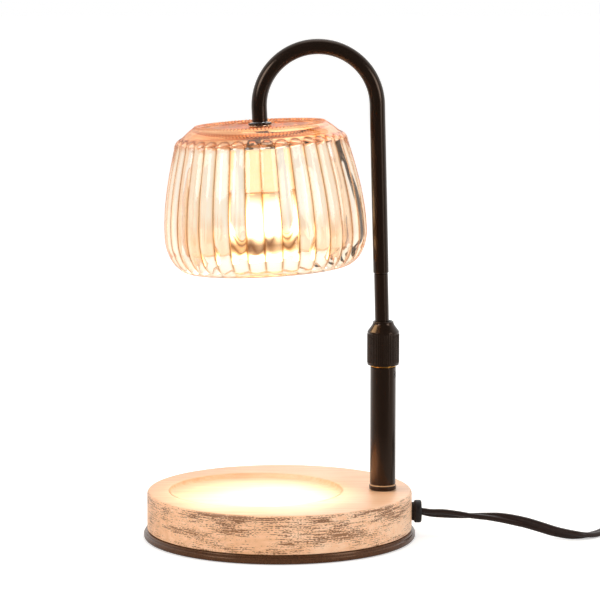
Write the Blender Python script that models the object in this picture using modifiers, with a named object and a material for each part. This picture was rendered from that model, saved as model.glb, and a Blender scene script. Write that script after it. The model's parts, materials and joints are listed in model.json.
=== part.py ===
"""Candle warmer lamp: a ribbed glass shade hangs from a bent arm over a round wooden base.

Metres, +Z up. The origin is the centre of the underside, +X points to the post and the cord,
and +Y points away from the side that is looked at. The arm slides and turns in a lock collar.
"""
import math

import bmesh
import bpy
import numpy as np
from mathutils import Matrix, Vector

# Clearances and cuts
FIT_GAP = 0.0003
CUT_OVERRUN = 0.002
WELD_DISTANCE = 0.000001

# Underside pad and metal plate, both sized from the wood above them
PAD_INSET = 0.0090
PAD_THICKNESS = 0.0012
PAD_PROUD = 0.0003
PLATE_OVERHANG = 0.0020
PLATE_LIP_HEIGHT = 0.0033
PLATE_STEP_HEIGHT = 0.0012
PLATE_STEP_INSET = 0.0012
PLATE_EDGE_ROUNDING = 0.0011

# Turned wooden base, with the shallow recess that the candle stands in
WOOD_RADIUS = 0.075
WOOD_HEIGHT = 0.0216
WOOD_EDGE_ROUNDING = 0.0016
RECESS_DEPTH = 0.0026
RECESS_EDGE_ROUNDING = 0.0020
RECESS_SIDE_MARGIN = 0.0126
RECESS_POST_MARGIN = 0.0152
POCKET_WIDTH = 0.025
POCKET_DEPTH = 0.0155
POCKET_REACH = 0.036

# Screws that hold the plate to the wood
BASE_SCREW_COUNT = 3
BASE_SCREW_INSET = 0.0150
BASE_SCREW_RADIUS = 0.0016
BASE_SCREW_LENGTH = 0.0125
BASE_SCREW_HEAD_RADIUS = 0.0033
BASE_SCREW_HEAD_HEIGHT = 0.0014

# Cord bushing in the side of the base
BUSHING_RISE = 0.0090
BUSHING_FLANGE_RADIUS = 0.0065
BUSHING_FLANGE_THICKNESS = 0.0042
BUSHING_STEP_RADIUS = 0.0053
BUSHING_STEP_LENGTH = 0.0011
BUSHING_SHANK_RADIUS = 0.0040
BUSHING_EDGE_ROUNDING = 0.0013
BUSHING_DISH_DEPTH = 0.0008
BUSHING_DISH_RADIUS = 0.0034

# Post on the base
POST_INSET = 0.0165
POST_RADIUS = 0.00725
POST_WALL = 0.0006
POST_LENGTH = 0.0661
POST_FOOT_RADIUS = 0.0077
POST_FOOT_HEIGHT = 0.0029
POST_FOOT_ROUNDING = 0.0005
POST_PLUG_HEIGHT = 0.0055
NIPPLE_RADIUS = 0.0049
NIPPLE_BORE_RADIUS = 0.0034
NIPPLE_TAIL = 0.0010
WASHER_RADIUS = 0.0095
WASHER_THICKNESS = 0.0012
POST_NUT_ACROSS_FLATS = 0.0140
POST_NUT_HEIGHT = 0.0040

# Lock collar at the top of the post
BUSH_SINK = 0.0100
BUSH_FLANGE_RADIUS = 0.0075
BUSH_FLANGE_HEIGHT = 0.0014
BUSH_THREAD_RADIUS = 0.0065
BUSH_THREAD_HEIGHT = 0.0128
BUSH_BORE_RADIUS = 0.00495
BUSH_LIP_RADIUS = 0.00448
BUSH_LIP_HEIGHT = 0.0020
GRUB_SCREW_RADIUS = 0.0014
GRUB_SCREW_DROP = 0.0018
GRUB_SCREW_TURN = math.radians(-25)
GRUB_SCREW_SOCKET_RADIUS = 0.0007
GRUB_SCREW_SOCKET_DEPTH = 0.0007
GRUB_SCREW_SUNK = 0.0002
COLLAR_RADIUS = 0.00895
COLLAR_HEIGHT = 0.0248
COLLAR_CHAMFER = 0.0012
COLLAR_KNURL_START = 0.0017
COLLAR_KNURL_LENGTH = 0.0165
COLLAR_KNURL_COUNT = 28
COLLAR_KNURL_DEPTH = 0.0004
COLLAR_CONE_HEIGHT = 0.0056
COLLAR_WALL = 0.0021
COLLAR_MOUTH_RADIUS = 0.00500
COLLAR_MOUTH_WALL = 0.0006
COLLAR_MOUTH_DEPTH = 0.0015
COLLAR_INNER_CONE_HEIGHT = 0.0081
COLLET_HEIGHT = 0.0071
COLLET_WALL = 0.0014
COLLET_TIP_WALL = 0.0006

# Arm, which leans over a little in the collar under the weight of its head
ARM_LEAN = math.radians(1.45)
ARM_SET_OVER = 0.0007
SLIDE_RADIUS = 0.00395
SLIDE_BORE_RADIUS = 0.0026
SLIDE_SHOULDER_RISE = 0.0270
SLIDE_SPIGOT_LENGTH = 0.0120
SLIDE_UP = 0.021
SLIDE_STOP_RADIUS = 0.0048
SLIDE_STOP_LENGTH = 0.0035
ARM_RADIUS = 0.00435
ARM_WALL = 0.0008
BEND_RADIUS = 0.03295
BEND_CENTRE_RISE = 0.1220
BEND_SWEEP = math.radians(181.55)
BEND_STEPS = 20
ARM_LEG_LENGTH = 0.0073
LEAD_RADIUS = 0.0014

# Head: what hangs on the end of the arm
HEAD_FLANGE_RADIUS = 0.0065
HEAD_FLANGE_THICKNESS = 0.0014
HEAD_FLANGE_TEETH = 12
HEAD_FLANGE_TOOTH_DEPTH = 0.0004
HEAD_NIPPLE_RADIUS = 0.0047
HEAD_NIPPLE_BORE_RADIUS = 0.0022
HEAD_SPIGOT_LENGTH = 0.0070
GASKET_RADIUS = 0.0100
GASKET_THICKNESS = 0.0010
HEAD_WASHER_RADIUS = 0.0135
HEAD_WASHER_THICKNESS = 0.0010
HEAD_NUT_ACROSS_FLATS = 0.0140
HEAD_NUT_HEIGHT = 0.0035
BRACKET_LENGTH = 0.0200
BRACKET_WIDTH = 0.0124
BRACKET_THICKNESS = 0.0010

# Ribbed glass shade
GLASS_WALL = 0.0028
GLASS_HEIGHT = 0.0802
GLASS_RIM_RADIUS = 0.0373
GLASS_RIM_RISE = 0.0013
GLASS_RIM_WIDTH = 0.0026
GLASS_SHOULDER_RADIUS = 0.0488
GLASS_SHOULDER_DROP = 0.0106
GLASS_SHOULDER_BEND = 0.0052
GLASS_BELLY_RADIUS = 0.0568
GLASS_BELLY_DROP = 0.0595
GLASS_MOUTH_RADIUS = 0.0432
GLASS_RIB_COUNT = 36
GLASS_RIB_DEPTH = 0.0012
GLASS_RIB_FADE = 0.0030
GLASS_RIB_START_SHARE = 1.0
GLASS_SIDE_SHARES = (0.08, 0.36, 0.66, 1.0)
GLASS_FOOT_ANGLES = (27, 50, 70, 85)
GLASS_INNER_FOOT_ANGLES = (66, 34)
GLASS_INNER_SIDE_SHARES = (1.0, 0.5, 0.08)
GLASS_SHOULDER_ANGLES = (52, 18)
GLASS_LIP_SHARES = (0.62, 0.20, 0.58, 0.85)
GLASS_STEPS_PER_RIB = 2

# Lamp holder of white ceramic
HOLDER_RADIUS = 0.0120
HOLDER_HEIGHT = 0.0255
HOLDER_EDGE_ROUNDING = 0.0010
HOLDER_WELL_RADIUS = 0.0056
HOLDER_WELL_DEPTH = 0.0050
HOLDER_RECESS_DEPTH = 0.0057
HOLDER_SLOT_DEPTH = 0.0088
HOLDER_SCREW_CIRCLE = 0.0072
HOLDER_SCREW_RADIUS = 0.0011
HOLDER_SCREW_HEAD_RADIUS = 0.0018
HOLDER_SCREW_HEAD_HEIGHT = 0.0014
HOLDER_SCREW_SUNK = 0.0004
CONTACT_SIZE = 0.0036
CONTACT_THICKNESS = 0.0014

# Reflector bulb with a twist-and-lock base
BULB_BASE_RADIUS = 0.0090
BULB_BASE_LENGTH = 0.0125
BULB_PIN_CIRCLE = 0.0050
BULB_PIN_RADIUS = 0.0015
BULB_PIN_HEAD_RADIUS = 0.0024
BULB_PIN_HEAD_HEIGHT = 0.0030
BULB_PIN_LENGTH = 0.0070
BULB_TWIST = math.radians(35)
BULB_WALL = 0.0012
BULB_NECK_RADIUS = 0.0121
BULB_NECK_LENGTH = 0.0170
BULB_NECK_ROUNDING = 0.0014
BULB_RIM_RADIUS = 0.0250
BULB_RIM_HEIGHT = 0.0030
BULB_FLARE_LENGTH = 0.0178
BULB_LENS_THICKNESS = 0.0014
BULB_LENS_DOME = 0.0008
BULB_LENS_MIDDLE_SHARE = 0.6
BULB_FLARE_SHARES = ((0.28, 0.30), (0.62, 0.66))
CAPSULE_RADIUS = 0.0048
CAPSULE_LENGTH = 0.0180

# Inner wiring in the base
CONNECTOR_RADIUS = 0.0034
CONNECTOR_LENGTH = 0.0130
CONNECTOR_SPREAD = 0.0045
CONNECTOR_START = 0.0135
MAINS_LEAD_RADIUS = 0.0016
MAINS_LEAD_SHARES = (
    (0.05, 0.0, 0.0),
    (0.16, 0.2, 0.36),
    (0.30, 0.65, 0.75),
    (0.50, 1.1, 1.0),
    (0.85, 1.0, 1.0),
)

# Flat twin cord, and the coil that its spare length is wound in. In the routes, X is measured
# from the side of the wood, and the fourth value is the cord's roll in degrees.
CORD_WIDTH = 0.0062
CORD_THICKNESS = 0.0030
CORD_LIFT = 0.00005
LEAD_ROUTE = (
    (0.0107, 0.0000, 0.0131, 50),
    (0.0175, -0.0001, 0.0128, 41),
    (0.0255, -0.0004, 0.0122, 53),
    (0.0323, -0.0008, 0.0117, 76),
    (0.0379, -0.0013, 0.0115, 92),
    (0.0447, -0.0019, 0.0113, 111),
    (0.0515, -0.0027, 0.0107, 136),
    (0.0582, -0.0036, 0.0096, 152),
    (0.0649, -0.0048, 0.0083, 173),
    (0.0727, -0.0066, 0.0063, 182),
    (0.0805, -0.0088, 0.0043, 191),
    (0.0871, -0.0109, 0.0033, 207),
    (0.0915, -0.0119, 0.0029, 223),
    (0.0961, -0.0109, 0.0024, 245),
    (0.1010, -0.0072, 0.0019, 262),
    (0.1061, -0.0018, 0.0018, 269),
    (0.1122, 0.0078, 0.0022, 270),
)
LINK_ROUTE = (
    (0.1722, 0.1166, 0.0043, 60),
    (0.1795, 0.1240, 0.0035, 25),
)
LEAD_START_ROLL = 60
TAIL_ROLL = 50
TAIL_REACH_SHARE = 0.55
COIL_DISTANCE = 0.2105
COIL_CENTRE_Y = 0.0920
COIL_INNER_RADIUS = 0.0270
COIL_TURN_STEP = 0.00360
COIL_LAYER_STEP = 0.00670
COIL_DIP = 0.0012
COIL_ENTRY_ANGLE = math.radians(105)
COIL_TURNS_IN = 4
COIL_TURNS_OUT = 2.9
POINTS_PER_TURN = 24
CORD_POINT_STEP = 0.0048

# Rotary dimmer switch in the cord
SWITCH_DISTANCE = 0.1437
SWITCH_Y = 0.0649
SWITCH_YAW = math.radians(62)
SWITCH_LENGTH = 0.0520
SWITCH_WIDTH = 0.0240
SWITCH_BASE_HEIGHT = 0.0080
SWITCH_COVER_HEIGHT = 0.0080
SWITCH_WALL = 0.0016
SWITCH_ROUNDING = 0.0030
SWITCH_CORD_HEIGHT = 0.0050
BOOT_LENGTH = 0.0200
BOOT_ROOT_RADIUS = 0.0046
BOOT_TIP_RADIUS = 0.0036
DIAL_RADIUS = 0.0100
DIAL_HEIGHT = 0.0045
DIAL_NOTCHES = 18
DIAL_NOTCH_DEPTH = 0.0004
DIAL_MARK_LENGTH = 0.0050
DIAL_MARK_WIDTH = 0.0010
DIAL_MARK_DEPTH = 0.0004
SHAFT_RADIUS = 0.0030
BOARD_LENGTH = 0.0320
BOARD_WIDTH = 0.0150
BOARD_THICKNESS = 0.0016
DIMMER_BODY_SIZE = 0.0110
DIMMER_BODY_HEIGHT = 0.0050
SWITCH_SCREW_RADIUS = 0.0011
SWITCH_SCREW_HEAD_RADIUS = 0.0020
SWITCH_SCREW_HEAD_HEIGHT = 0.0012
SWITCH_SCREW_INSET = 0.0065
SWITCH_BOSS_RADIUS = 0.0026

# Two-pin plug
PLUG_LEAD_IN = 0.0300
PLUG_BODY_LENGTH = 0.0280
PLUG_BODY_WIDTH = 0.0220
PLUG_BODY_HEIGHT = 0.0134
PLUG_TAIL_WIDTH_SHARE = 0.70
PLUG_ROUNDING = 0.0024
PLUG_RELIEF_LENGTH = 0.0200
PLUG_RELIEF_ROOT_RADIUS = 0.0052
PLUG_RELIEF_TIP_RADIUS = 0.0036
PLUG_RELIEF_SEAT = 0.0020
PLUG_FLOOR_GAP = 0.0001
BLADE_SPACING = 0.0127
BLADE_WIDTH = 0.0063
BLADE_THICKNESS = 0.0015
BLADE_LENGTH = 0.0160
BLADE_SEAT = 0.0040

# Counts of faces round a turned piece
LARGE_STEPS = 60
RECESS_STEPS = 40
ROUND_STEPS = 24
SMALL_STEPS = 16
TINY_STEPS = 12
ARM_BEVEL_STEPS = 4
CORD_BEVEL_STEPS = 1

# Places and sizes that follow from the values above
PLATE_RADIUS = WOOD_RADIUS + PLATE_OVERHANG
PAD_RADIUS = PLATE_RADIUS - PAD_INSET
BASE_SCREW_CIRCLE = WOOD_RADIUS - BASE_SCREW_INSET
POST_AXIS_X = WOOD_RADIUS - POST_INSET
RECESS_LEFT_X = RECESS_SIDE_MARGIN - WOOD_RADIUS
RECESS_RIGHT_X = POST_AXIS_X - POST_FOOT_RADIUS - RECESS_POST_MARGIN
RECESS_RADIUS = (RECESS_RIGHT_X - RECESS_LEFT_X) / 2
RECESS_CENTRE_X = (RECESS_RIGHT_X + RECESS_LEFT_X) / 2
PLATE_BOTTOM = PAD_PROUD
PLATE_TOP = PLATE_BOTTOM + PLATE_LIP_HEIGHT + PLATE_STEP_HEIGHT
PAD_SEAT = PAD_THICKNESS + FIT_GAP
WOOD_BOTTOM = PLATE_TOP + FIT_GAP
WOOD_TOP = WOOD_BOTTOM + WOOD_HEIGHT
POCKET_TOP = WOOD_BOTTOM + POCKET_DEPTH
BUSHING_Z = WOOD_BOTTOM + BUSHING_RISE
POCKET_END_X = POST_AXIS_X + POCKET_WIDTH / 2
FOOT_BOTTOM = WOOD_TOP + FIT_GAP
POST_BOTTOM = FOOT_BOTTOM + POST_FOOT_HEIGHT + FIT_GAP
POST_TOP = POST_BOTTOM + POST_LENGTH
POST_BORE_RADIUS = POST_RADIUS - POST_WALL
POST_PLUG_TOP = POST_BOTTOM + POST_PLUG_HEIGHT
WASHER_BOTTOM = POCKET_TOP - FIT_GAP - WASHER_THICKNESS
POST_NUT_BOTTOM = WASHER_BOTTOM - FIT_GAP - POST_NUT_HEIGHT
BUSH_BOTTOM = POST_TOP - BUSH_SINK
BUSH_FLANGE_BOTTOM = POST_TOP + FIT_GAP
BUSH_FLANGE_TOP = BUSH_FLANGE_BOTTOM + BUSH_FLANGE_HEIGHT
BUSH_TOP = BUSH_FLANGE_TOP + BUSH_THREAD_HEIGHT
COLLAR_BOTTOM = BUSH_FLANGE_TOP + FIT_GAP
COLLAR_TOP = COLLAR_BOTTOM + COLLAR_HEIGHT
COLLAR_BORE_RADIUS = COLLAR_RADIUS - COLLAR_WALL
SLIDE_STOP_TOP = BUSH_BOTTOM - COLLAR_TOP - SLIDE_UP - FIT_GAP
SLIDE_BOTTOM = SLIDE_STOP_TOP - SLIDE_STOP_LENGTH
ARM_BORE_RADIUS = ARM_RADIUS - ARM_WALL
SPIGOT_RADIUS = ARM_BORE_RADIUS - FIT_GAP
GLASS_TOP = -(2 * FIT_GAP + HEAD_FLANGE_THICKNESS)
GASKET_TOP = GLASS_TOP - GLASS_WALL - FIT_GAP
HEAD_WASHER_TOP = GASKET_TOP - GASKET_THICKNESS - FIT_GAP
HEAD_NUT_TOP = HEAD_WASHER_TOP - HEAD_WASHER_THICKNESS - FIT_GAP
BRACKET_TOP = HEAD_NUT_TOP - HEAD_NUT_HEIGHT - FIT_GAP
HOLDER_TOP = BRACKET_TOP - BRACKET_THICKNESS - FIT_GAP
HOLDER_BOTTOM = HOLDER_TOP - HOLDER_HEIGHT
HOLDER_SEAT = HOLDER_BOTTOM + HOLDER_RECESS_DEPTH
WELL_FLOOR = HOLDER_TOP - HOLDER_WELL_DEPTH
HEAD_NIPPLE_BOTTOM = HOLDER_TOP - (HOLDER_WELL_DEPTH / 3)
HEAD_BORE_RADIUS = HEAD_NIPPLE_RADIUS + FIT_GAP
BULB_TOP = HOLDER_SEAT - FIT_GAP
BULB_BASE_BOTTOM = BULB_TOP - BULB_BASE_LENGTH
REFLECTOR_TOP = HOLDER_BOTTOM - FIT_GAP
REFLECTOR_FLARE_TOP = REFLECTOR_TOP - BULB_NECK_LENGTH
RIM_TOP = REFLECTOR_FLARE_TOP - BULB_FLARE_LENGTH
RIM_BOTTOM = RIM_TOP - BULB_RIM_HEIGHT
SWITCH_BASE_TOP = PAD_PROUD + SWITCH_BASE_HEIGHT
SWITCH_COVER_BOTTOM = SWITCH_BASE_TOP + FIT_GAP
SWITCH_COVER_TOP = SWITCH_COVER_BOTTOM + SWITCH_COVER_HEIGHT
SWITCH_TIP = SWITCH_LENGTH / 2 + 2 * FIT_GAP + BOOT_LENGTH
SWITCH_X = WOOD_RADIUS + SWITCH_DISTANCE
CORD_LOW_Z = CORD_WIDTH / 2 + CORD_LIFT
COIL_CENTRE_X = WOOD_RADIUS + COIL_DISTANCE
COIL_OUTER_RADIUS = COIL_INNER_RADIUS + COIL_TURNS_IN * COIL_TURN_STEP
PLUG_AXIS_Z = PLUG_FLOOR_GAP + PLUG_BODY_HEIGHT / 2

PARTS = "candle_warmer"
CUTTERS = "cutters"


def clear_scene():
    for thing in list(bpy.data.objects):
        bpy.data.objects.remove(thing, do_unlink=True)
    for name in (PARTS, CUTTERS):
        bpy.context.scene.collection.children.link(bpy.data.collections.new(name))


def linear(channel):
    return channel / 12.92 if channel <= 0.04045 else ((channel + 0.055) / 1.055) ** 2.4


def material(name, colour, roughness, metallic=0.0, alpha=1.0):
    """A plain Principled finish from an sRGB hex colour."""
    made = bpy.data.materials.new(name)
    made.use_nodes = True
    shader = made.node_tree.nodes["Principled BSDF"]
    channels = [linear(int(colour[k:k + 2], 16) / 255) for k in (0, 2, 4)]
    shader.inputs["Base Color"].default_value = (*channels, 1.0)
    shader.inputs["Roughness"].default_value = roughness
    shader.inputs["Metallic"].default_value = metallic
    shader.inputs["Alpha"].default_value = alpha
    made.diffuse_color = (*channels, alpha)
    return made


def frame_at(name, parent=None, at=(0, 0, 0), turn=(0, 0, 0)):
    """An empty that carries pieces, on a joint's axis or at an assembly's own origin."""
    empty = bpy.data.objects.new(name, None)
    bpy.data.collections[PARTS].objects.link(empty)
    empty.parent = parent
    empty.location = at
    empty.rotation_euler = turn
    return empty


def placed(name, data, finish=None, parent=None, at=(0, 0, 0), turn=(0, 0, 0)):
    """An object for a mesh: a part where it has a finish, and otherwise a cutter."""
    thing = bpy.data.objects.new(name, data)
    bpy.data.collections[PARTS if finish else CUTTERS].objects.link(thing)
    thing.parent = parent
    thing.location = at
    thing.rotation_euler = turn
    if finish:
        data.materials.append(finish)
    else:
        thing.hide_render = True
        thing.display_type = "WIRE"
    return thing


def smooth(thing, angle=math.radians(35)):
    thing.data.shade_smooth()
    thing.data.set_sharp_from_angle(angle=angle)


def mesh_from(name, bm):
    mesh = bpy.data.meshes.new(name)
    bmesh.ops.recalc_face_normals(bm, faces=bm.faces)
    bm.to_mesh(mesh)
    bm.free()
    return mesh


def turned(name, outline, finish=None, parent=None, at=(0, 0, 0), turn=(0, 0, 0), steps=ROUND_STEPS):
    """A turned piece. Its outline of (radius, height) points runs down the outer side.

    An outline that starts and ends on the axis is a solid, and any other closes on itself.
    """
    mesh = bpy.data.meshes.new(name)
    count = len(outline)
    solid = outline[0][0] == 0 and outline[-1][0] == 0
    edges = [(k, k + 1) for k in range(count - 1)] + ([] if solid else [(count - 1, 0)])
    mesh.from_pydata([(radius, 0, height) for radius, height in outline], edges, [])
    thing = placed(name, mesh, finish, parent, at, turn)
    screw = thing.modifiers.new("turn", "SCREW")
    screw.steps = steps
    screw.render_steps = steps
    screw.use_merge_vertices = True
    screw.merge_threshold = WELD_DISTANCE
    screw.use_smooth_shade = True
    return thing


def disc(radius, top, bottom):
    """The outline of a plain cylinder."""
    return [(0, top), (radius, top), (radius, bottom), (0, bottom)]


def ring(radius, bore, top, bottom):
    """The outline of a cylinder with a bore."""
    return [(radius, top), (radius, bottom), (bore, bottom), (bore, top)]


def arc(centre, radius, start, stop, count=4):
    """Points on an arc in an outline, with angles in degrees from the outward direction."""
    angles = np.radians(np.linspace(start, stop, count))
    return [(centre[0] + radius * math.cos(a), centre[1] + radius * math.sin(a)) for a in angles]


def block(name, size, finish=None, parent=None, at=(0, 0, 0), turn=(0, 0, 0), rounding=0.0):
    """A box about its own centre, with its edges rounded."""
    bm = bmesh.new()
    bmesh.ops.create_cube(bm, size=1.0)
    bmesh.ops.scale(bm, vec=size, verts=bm.verts)
    thing = placed(name, mesh_from(name, bm), finish, parent, at, turn)
    if rounding:
        bevel = thing.modifiers.new("rounding", "BEVEL")
        bevel.width = rounding
        bevel.segments = 2
    return thing


def prism(name, outline, top, bottom, finish=None, parent=None, at=(0, 0, 0), turn=(0, 0, 0)):
    """A flat outline of (x, y) points, extruded from bottom to top."""
    curve = bpy.data.curves.new(name, "CURVE")
    curve.dimensions = "2D"
    curve.fill_mode = "BOTH"
    curve.extrude = (top - bottom) / 2
    spline = curve.splines.new("POLY")
    spline.points.add(len(outline) - 1)
    for point, (x, y) in zip(spline.points, outline):
        point.co = (x, y, 0, 1)
    spline.use_cyclic_u = True
    mesh = mesh_of_curve(name, curve)
    mesh.transform(Matrix.Translation((0, 0, (top + bottom) / 2)))
    return placed(name, mesh, finish, parent, at, turn)


def mesh_of_curve(name, curve):
    """The closed mesh of a curve, its caps welded on."""
    holder = bpy.data.objects.new(name, curve)
    bpy.context.scene.collection.objects.link(holder)
    bpy.context.view_layer.update()
    mesh = bpy.data.meshes.new_from_object(holder.evaluated_get(bpy.context.evaluated_depsgraph_get()))
    bpy.data.objects.remove(holder)
    bm = bmesh.new()
    bm.from_mesh(mesh)
    bmesh.ops.remove_doubles(bm, verts=bm.verts, dist=WELD_DISTANCE)
    bmesh.ops.recalc_face_normals(bm, faces=bm.faces)
    bm.to_mesh(mesh)
    bm.free()
    mesh.name = name
    return mesh


def tube(name, points, radius, finish=None, parent=None, resolution=CORD_BEVEL_STEPS):
    """A round tube along points."""
    curve = bpy.data.curves.new(name, "CURVE")
    curve.dimensions = "3D"
    curve.bevel_depth = radius
    curve.bevel_resolution = resolution
    curve.use_fill_caps = True
    spline = curve.splines.new("POLY")
    spline.points.add(len(points) - 1)
    for point, place in zip(spline.points, points):
        point.co = (*place, 1)
    return placed(name, mesh_of_curve(name, curve), finish, parent)


def cut(thing, cutter, operation="DIFFERENCE"):
    boolean = thing.modifiers.new(cutter.name, "BOOLEAN")
    boolean.operation = operation
    boolean.solver = "EXACT"
    boolean.object = cutter


def smooth_route(points, step):
    """Points about a step apart on a smooth curve through the given ones.

    Each given point is a place and a roll, and the curve's slope at it is that of its neighbours.
    """
    given = np.array(points, float)
    reach = np.concatenate([[0], np.cumsum(np.linalg.norm(np.diff(given[:, :3], axis=0), axis=1))])
    slope = np.gradient(given, reach, axis=0)
    made = []
    for k in range(len(given) - 1):
        span = reach[k + 1] - reach[k]
        for t in np.arange(0, 1, 1 / max(1, round(span / step))):
            made.append(
                (2 * t**3 - 3 * t**2 + 1) * given[k]
                + (t**3 - 2 * t**2 + t) * span * slope[k]
                + (3 * t**2 - 2 * t**3) * given[k + 1]
                + (t**3 - t**2) * span * slope[k + 1]
            )
    return [*made, given[-1]]


def cord_section():
    """The cord's flat section, upright: two round sides, drawn with three points each."""
    side = CORD_THICKNESS / 2
    top = arc((0, CORD_WIDTH / 2 - side), side, 0, 180, 3)
    return top + [(-x, -y) for x, y in top]


def flat_cord(name, route, finish, parent=None):
    """A flat cord along places with a roll in degrees, at which none leaves its width upright."""
    section = bpy.data.curves.new(name + "_section", "CURVE")
    section.dimensions = "2D"
    outline = section.splines.new("POLY")
    outline.points.add(len(cord_section()) - 1)
    for point, (x, y) in zip(outline.points, cord_section()):
        point.co = (x, y, 0, 1)
    outline.use_cyclic_u = True
    guide = bpy.data.objects.new(name + "_section", section)
    bpy.context.scene.collection.objects.link(guide)
    curve = bpy.data.curves.new(name, "CURVE")
    curve.dimensions = "3D"
    curve.twist_mode = "Z_UP"
    curve.bevel_mode = "OBJECT"
    curve.bevel_object = guide
    curve.use_fill_caps = True
    spline = curve.splines.new("POLY")
    spline.points.add(len(route) - 1)
    for point, (x, y, z, roll) in zip(spline.points, route):
        point.co = (x, y, z, 1)
        point.tilt = math.radians(roll)
    mesh = mesh_of_curve(name, curve)
    bpy.data.objects.remove(guide)
    return placed(name, mesh, finish, parent)


def hexagon(across_flats, bore):
    """Outer and inner outlines of a nut."""
    corner = across_flats / 2 / math.cos(math.pi / 6)
    return [(corner * math.cos(a), corner * math.sin(a)) for a in np.radians(range(30, 390, 60))], bore


def nut(name, across_flats, bore, top, bottom, finish, parent=None, at=(0, 0, 0)):
    outline, hole = hexagon(across_flats, bore)
    made = prism(name, outline, top, bottom, finish, parent, at)
    drill = turned(
        name + "_drill", disc(hole, top + CUT_OVERRUN, bottom - CUT_OVERRUN), None, parent, at,
        steps=SMALL_STEPS,
    )
    cut(made, drill)
    return made


def spun(name, outline, steps, reshape, finish, parent=None, at=(0, 0, 0)):
    """A turned piece whose closed outline is moved point by point: reshape(radius, height, angle)."""
    bm = bmesh.new()
    rings = []
    for k in range(steps):
        angle = 2 * math.pi * k / steps
        out_x, out_y = math.cos(angle), math.sin(angle)
        places = [reshape(index, radius, height, angle) for index, (radius, height) in enumerate(outline)]
        rings.append([bm.verts.new((r * out_x, r * out_y, z)) for r, z in places])
    for k in range(steps):
        here, there = rings[k], rings[(k + 1) % steps]
        for i in range(len(outline)):
            j = (i + 1) % len(outline)
            bm.faces.new((here[i], here[j], there[j], there[i]))
    return placed(name, mesh_from(name, bm), finish, parent, at)


def make_finishes():
    return {
        "wood": material("pale_wood", "D9A06E", 0.55),
        "black_metal": material("satin_black_metal", "211C1A", 0.38, 0.6),
        "plate": material("black_plate", "2A2320", 0.40, 0.5),
        "glass": material("amber_glass", "EBB47C", 0.06, 0.0, 0.35),
        "clear_glass": material("clear_glass", "F4F1EA", 0.05, 0.0, 0.35),
        "reflector": material("coated_reflector", "C9B28C", 0.15, 0.9),
        "ceramic": material("white_ceramic", "EFEBE2", 0.35),
        "steel": material("zinc_steel", "A9A9A6", 0.35, 1.0),
        "brass": material("brass", "B8924A", 0.30, 1.0),
        "rubber": material("silicone_rubber", "D8D4CC", 0.60),
        "pad": material("foam_pad", "1B1A1A", 0.95),
        "nylon": material("nylon", "E8E6E0", 0.45),
        "cord": material("brown_cord_vinyl", "2B1D18", 0.42),
        "black_plastic": material("black_plastic", "1F1A18", 0.40),
        "board": material("circuit_board", "2F5B3A", 0.50),
    }


def make_pad_and_plate(finish):
    turned("base_pad", disc(PAD_RADIUS, PAD_THICKNESS, 0), finish["pad"], steps=ROUND_STEPS)
    step_radius = PLATE_RADIUS - PLATE_STEP_INSET
    lip_top = PLATE_BOTTOM + PLATE_LIP_HEIGHT
    seat_radius = PAD_RADIUS + FIT_GAP
    round_off = PLATE_EDGE_ROUNDING
    outline = [
        (0, PLATE_TOP),
        (step_radius, PLATE_TOP),
        (step_radius, lip_top),
        *arc((PLATE_RADIUS - round_off, lip_top - round_off), round_off, 90, 0, 3),
        *arc((PLATE_RADIUS - round_off, PLATE_BOTTOM + round_off), round_off, 0, -90, 2),
        (seat_radius, PLATE_BOTTOM),
        (seat_radius, PAD_SEAT),
        (0, PAD_SEAT),
    ]
    plate = turned("base_plate", outline, finish["plate"], steps=LARGE_STEPS)
    for k in range(BASE_SCREW_COUNT):
        place = base_screw_place(k)
        hole = ring_of_screw(FIT_GAP, PAD_SEAT - CUT_OVERRUN, WOOD_BOTTOM + CUT_OVERRUN)
        cut(plate, turned(f"plate_screw_hole_{k + 1}", hole, None, None, place, steps=TINY_STEPS))
    return plate


def base_screw_place(k):
    angle = math.pi / 2 + 2 * math.pi * k / BASE_SCREW_COUNT
    return (BASE_SCREW_CIRCLE * math.cos(angle), BASE_SCREW_CIRCLE * math.sin(angle), 0)


def ring_of_screw(gap, bottom, top):
    """The outline of a countersunk screw, wider by a gap, from bottom to top."""
    head_top = PAD_SEAT + BASE_SCREW_HEAD_HEIGHT
    return [
        (0, top),
        (BASE_SCREW_RADIUS + gap, top),
        (BASE_SCREW_RADIUS + gap, head_top + gap),
        (BASE_SCREW_HEAD_RADIUS + gap, head_top + gap),
        (BASE_SCREW_HEAD_RADIUS + gap, bottom),
        (0, bottom),
    ]


def make_base_screws(finish):
    for k in range(BASE_SCREW_COUNT):
        top = WOOD_BOTTOM + BASE_SCREW_LENGTH
        outline = ring_of_screw(0, PAD_SEAT, top)
        place = base_screw_place(k)
        turned(f"base_screw_{k + 1}", outline, finish["steel"], None, place, steps=TINY_STEPS)


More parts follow.
